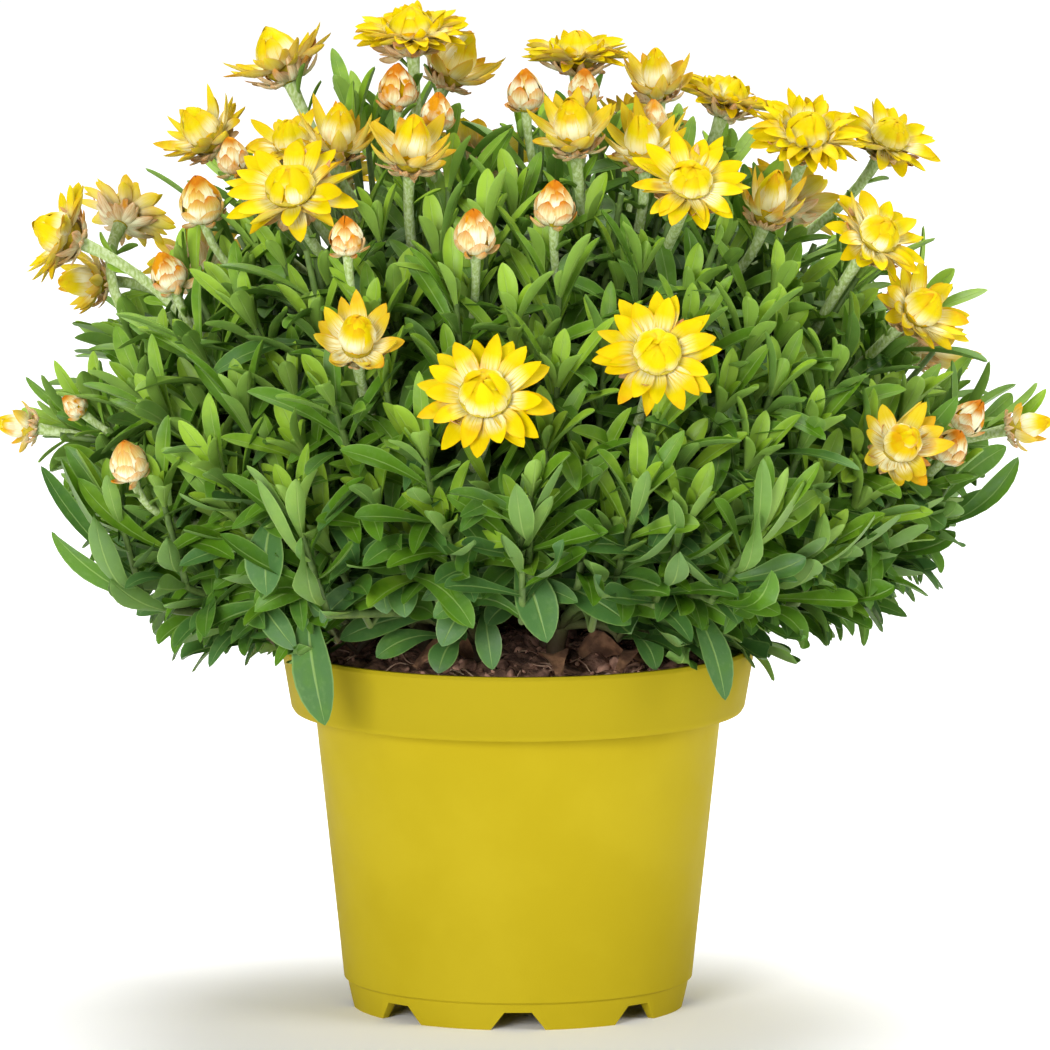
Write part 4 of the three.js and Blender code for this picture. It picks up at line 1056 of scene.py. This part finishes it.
def open_head(size, openness, seed, rays, layers):
    """A head whose rays spread from a closed dome: open 1 is flat, and less is cupped round a tall egg.
    Rings of tan scales line the back of the rays, and rings of inner bracts close the dome."""
    head = Head(size, openness, seed)
    mix, depth = head.mix, head_depth(1, openness)
    spread = lerp(0.45, 0.03, math.sqrt(openness))
    seat = SEAT_RADIUS / size
    for k, reach in enumerate((0.17, 0.24, 0.31)):
        head.ring(9 + k, (seat, -depth + 0.01), (seat + 0.6 * reach, -depth + 0.02 * k),
                  (reach * mix(1.15, 1.1), mix(-0.4, -0.09) + 0.04 * k), 0.1, turn=0.37 * k, hollow=0.5,
                  blush=0.5, cream=0.6, paper=1, loose=0.055)
    for k in range(layers):
        fall = k / max(1, layers - 1)
        head.ring(rays, (mix(0.13, 0.14), mix(-0.3, -0.035) + 0.012 * k),
                  (mix(0.4, 0.3) - 0.02 * k, mix(-0.36, -0.01) + 0.04 * k),
                  (0.5 - 0.05 * fall, spread + mix(0.16, 0.08) * (fall - 0.3)),
                  mix(0.16, 0.162) * 15 / (rays + 5), turn=0.5 * k, blush=mix(0.8, 0.14) * (1 - 0.6 * fall),
                  cream=mix(0.8, 0.42), paper=mix(0.25, 0), hollow=0.8, loose=mix(0.12, 0.036), back=0.6)
    if layers > 2:
        head.ring(10, (0.16, 0.0), (0.25, 0.03), (0.25, 0.16), 0.12, turn=0.25, hollow=0.9, cream=0.7,
                  blush=0.05)
    head.ring(6, (mix(0.12, 0.11), 0.0), (mix(0.27, 0.165), mix(0.3, 0.14)), (0.0, mix(0.66, 0.2)),
              mix(0.3, 0.19), turn=0.3, hollow=0.9, inward=True, blush=mix(0.6, 0.3), cream=mix(1.0, 0.2),
              loose=0.014)
    head.ring(8, (mix(0.13, 0.155), mix(-0.2, -0.02)), (mix(0.36, 0.24), mix(0.12, 0.115)),
              (mix(0.06, 0.035), mix(0.6, 0.205)), mix(0.3, 0.165), hollow=mix(0.9, 1.0), inward=True,
              blush=mix(0.8, 0.25), cream=mix(1.15, 0.5), loose=0.024)
    head.ring(5, (mix(0.08, 0.1), mix(0.3, 0.1)), (mix(0.16, 0.125), mix(0.55, 0.2)), (0, mix(0.68, 0.222)),
              mix(0.2, 0.15), turn=0.6, inward=True, blush=mix(0.7, 0.35), cream=mix(0.5, 0.15), loose=0.012)
    return head


def closed_head(size, openness, seed):
    """A bud: an egg of overlapping scales, cream at the foot and tipped with rust, on a few spread scales"""
    head = Head(size, openness, seed)
    ripe = head.rng.uniform(0.7, 2.2)
    head.egg((5, 5, 4, 4), -0.57, 0.6, 0.95, 0.9 if openness < 0.1 else 0.5, ripe)
    head.ring(5, (0.2, -0.6), (0.46, -0.66), (0.6, -0.36), 0.26, blush=0.9, cream=0.5, paper=0.8, loose=0.08)
    return head


def cushion(size, openness):
    """The head's own body, which the bracts cover. A thin olive lip shows round the foot of a dome: partly the
    body's own green, partly painted shade in the gap under the dome.
    """
    def mix(cup, flat):
        return lerp(cup, flat, openness ** 0.8) * size

    bottom = -head_depth(size, openness)
    if openness < CLOSED_BELOW:
        sides = [(radius * size, height * size) for radius, height in EGG_SIDES]
    else:
        sides = [(mix(0.2, 0.15), mix(-0.36, -0.07)), (mix(0.18, 0.17), mix(-0.15, 0.02)),
                 (mix(0.16, 0.188), mix(-0.08, 0.034)), (mix(0.16, 0.188), mix(-0.05, 0.043)),
                 (mix(0.15, 0.15), mix(0.0, 0.047)), (mix(0.14, 0.12), mix(0.2, 0.1)),
                 (mix(0.08, 0.06), mix(0.38, 0.15)), (0, mix(0.45, 0.17))]
    bm = spun(((0, bottom - 0.05), (SEAT_RADIUS, bottom), *sides), 20)
    for face in bm.faces:
        face.material_index = int(face.calc_center_median().z < mix(-0.2, 0.05) * MM)
    return bm


def make_head(name, head, place, face):
    """The head's mesh: its bracts in one, then its cushion, set at its place and turned to its face"""
    centre, axis = seen(place), Vector(heading(face))
    turn = np.array(Vector((0, 0, 1)).rotation_difference(axis).to_matrix())
    bracts = columns(head.bracts)
    for part, moved in (("start", centre), ("middle", centre), ("end", centre), ("facing", 0)):
        bracts[part] = bracts[part] @ turn.T + moved
    mesh = planted(name, bract_form, bract_outline, BRACT_THICKNESS, **bracts)
    bm = cushion(head.size, head.openness)
    seat = Matrix.Translation(Vector(centre * MM)) @ axis.to_track_quat("Z", "Y").to_matrix().to_4x4()
    bmesh.ops.transform(bm, verts=bm.verts, matrix=seat)
    bm.from_mesh(mesh)
    return settled(name, bm)


def bract_finish():
    finish, tree, shader = new_finish("papery bract")
    under, edge, along = blade_map(tree)
    blush, cream, back = (trait(tree, name) for name in ("blush", "cream", "back"))
    ribs = node(tree, "Mapping", {"Vector": lie(tree, "UV"), "Scale": (22, 1.6, 1)}).outputs["Vector"]
    ribs = node(tree, "VectorMath", {0: ribs, 1: lie(tree)}, operation="ADD").outputs["Vector"]
    streaks = speckle(tree, ribs, 1.0, 4)
    colour = blend(tree, eased(tree, trait(tree, "tone"), 0.1, 0.9), BRACT_DEEP, BRACT_YELLOW)
    colour = blend(tree, eased(tree, streaks, 0.3, 0.6, 0.35, 0), colour, BRACT_DEEP)
    # Orange margins: partly the bracts' own tint, partly painted shade along the seams where they overlap.
    colour = blend(tree, eased(tree, edge, 0.38, 0.5, 0, 0.5), colour, BRACT_EDGE_AND_SEAM_SHADE)
    pale_back = times(tree, times(tree, under, back), eased(tree, along, 0.1, 0.9, 1, 0.1))
    pale_back = times(tree, pale_back, eased(tree, streaks, 0.3, 0.65, 0.4, 1))
    colour = blend(tree, pale_back, colour, PAPER_CREAM)
    paper = blend(tree, eased(tree, streaks, 0.35, 0.65), PAPER_TAN, PAPER_CREAM)
    paper = blend(tree, eased(tree, edge, 0.4, 0.5, 0, 0.3), paper, BRACT_BLUSH)
    colour = blend(tree, trait(tree, "paper"), colour, paper)
    near_foot = eased(tree, calc(tree, "SUBTRACT", along, times(tree, cream, 0.4)), 0.3, -0.1)
    pale = times(tree, times(tree, near_foot, eased(tree, streaks, 0.28, 0.56)), cream)
    colour = blend(tree, calc(tree, "MINIMUM", times(tree, pale, 1.6), 1.0), colour, BRACT_CREAM)
    warm = times(tree, eased(tree, along, 0.35, 1.0), eased(tree, streaks, 0.2, 0.6, 0.5, 1.0))
    colour = blend(tree, times(tree, warm, blush), colour, BRACT_BLUSH)
    spots = eased(tree, speckle(tree, lie(tree), 150), 0.56, 0.7, 0, 1.1)
    colour = blend(tree, times(tree, spots, blush), colour, BRACT_SPOT)
    coat(tree, shader, colour, eased(tree, streaks, 0.3, 0.7, 0.42, 0.58), 0.09)
    relief(tree, shader, streaks, 0.25, 0.0003)
    let_light_through(tree, shader, 0.3, colour)
    return finish


bract_form = blade("bract form", 4, 6)
papery = bract_finish()
cushion_finish, tree, shader = new_finish("cushion")
# The cushion's olive is partly painted shade in the gap round the foot of a dome.
coat(tree, shader, blend(tree, speckle(tree, lie(tree), 900), CUSHION_OLIVE_AND_SHADE, BRACT_DEEP), 0.7)

for number, (name, (place, face, size, openness)) in enumerate(HEADS.items()):
    if openness < CLOSED_BELOW:
        head = closed_head(size, openness, 100 + number)
    else:
        head = open_head(size, openness, 100 + number, *ray_plan(face, size, openness))
    piece = show(name + "_bracts", make_head(name + " bracts", head, place, face), papery, [name])
    piece.data.materials.append(cushion_finish)

bm = bmesh.new()
for number, (place, face, size) in enumerate(SMALL_BUDS):
    bm.from_mesh(make_head("small bud", closed_head(size, 0, 300 + number), place, face))
small_buds = show("small_buds", settled("small buds", bm), papery)
small_buds.data.materials.append(cushion_finish)
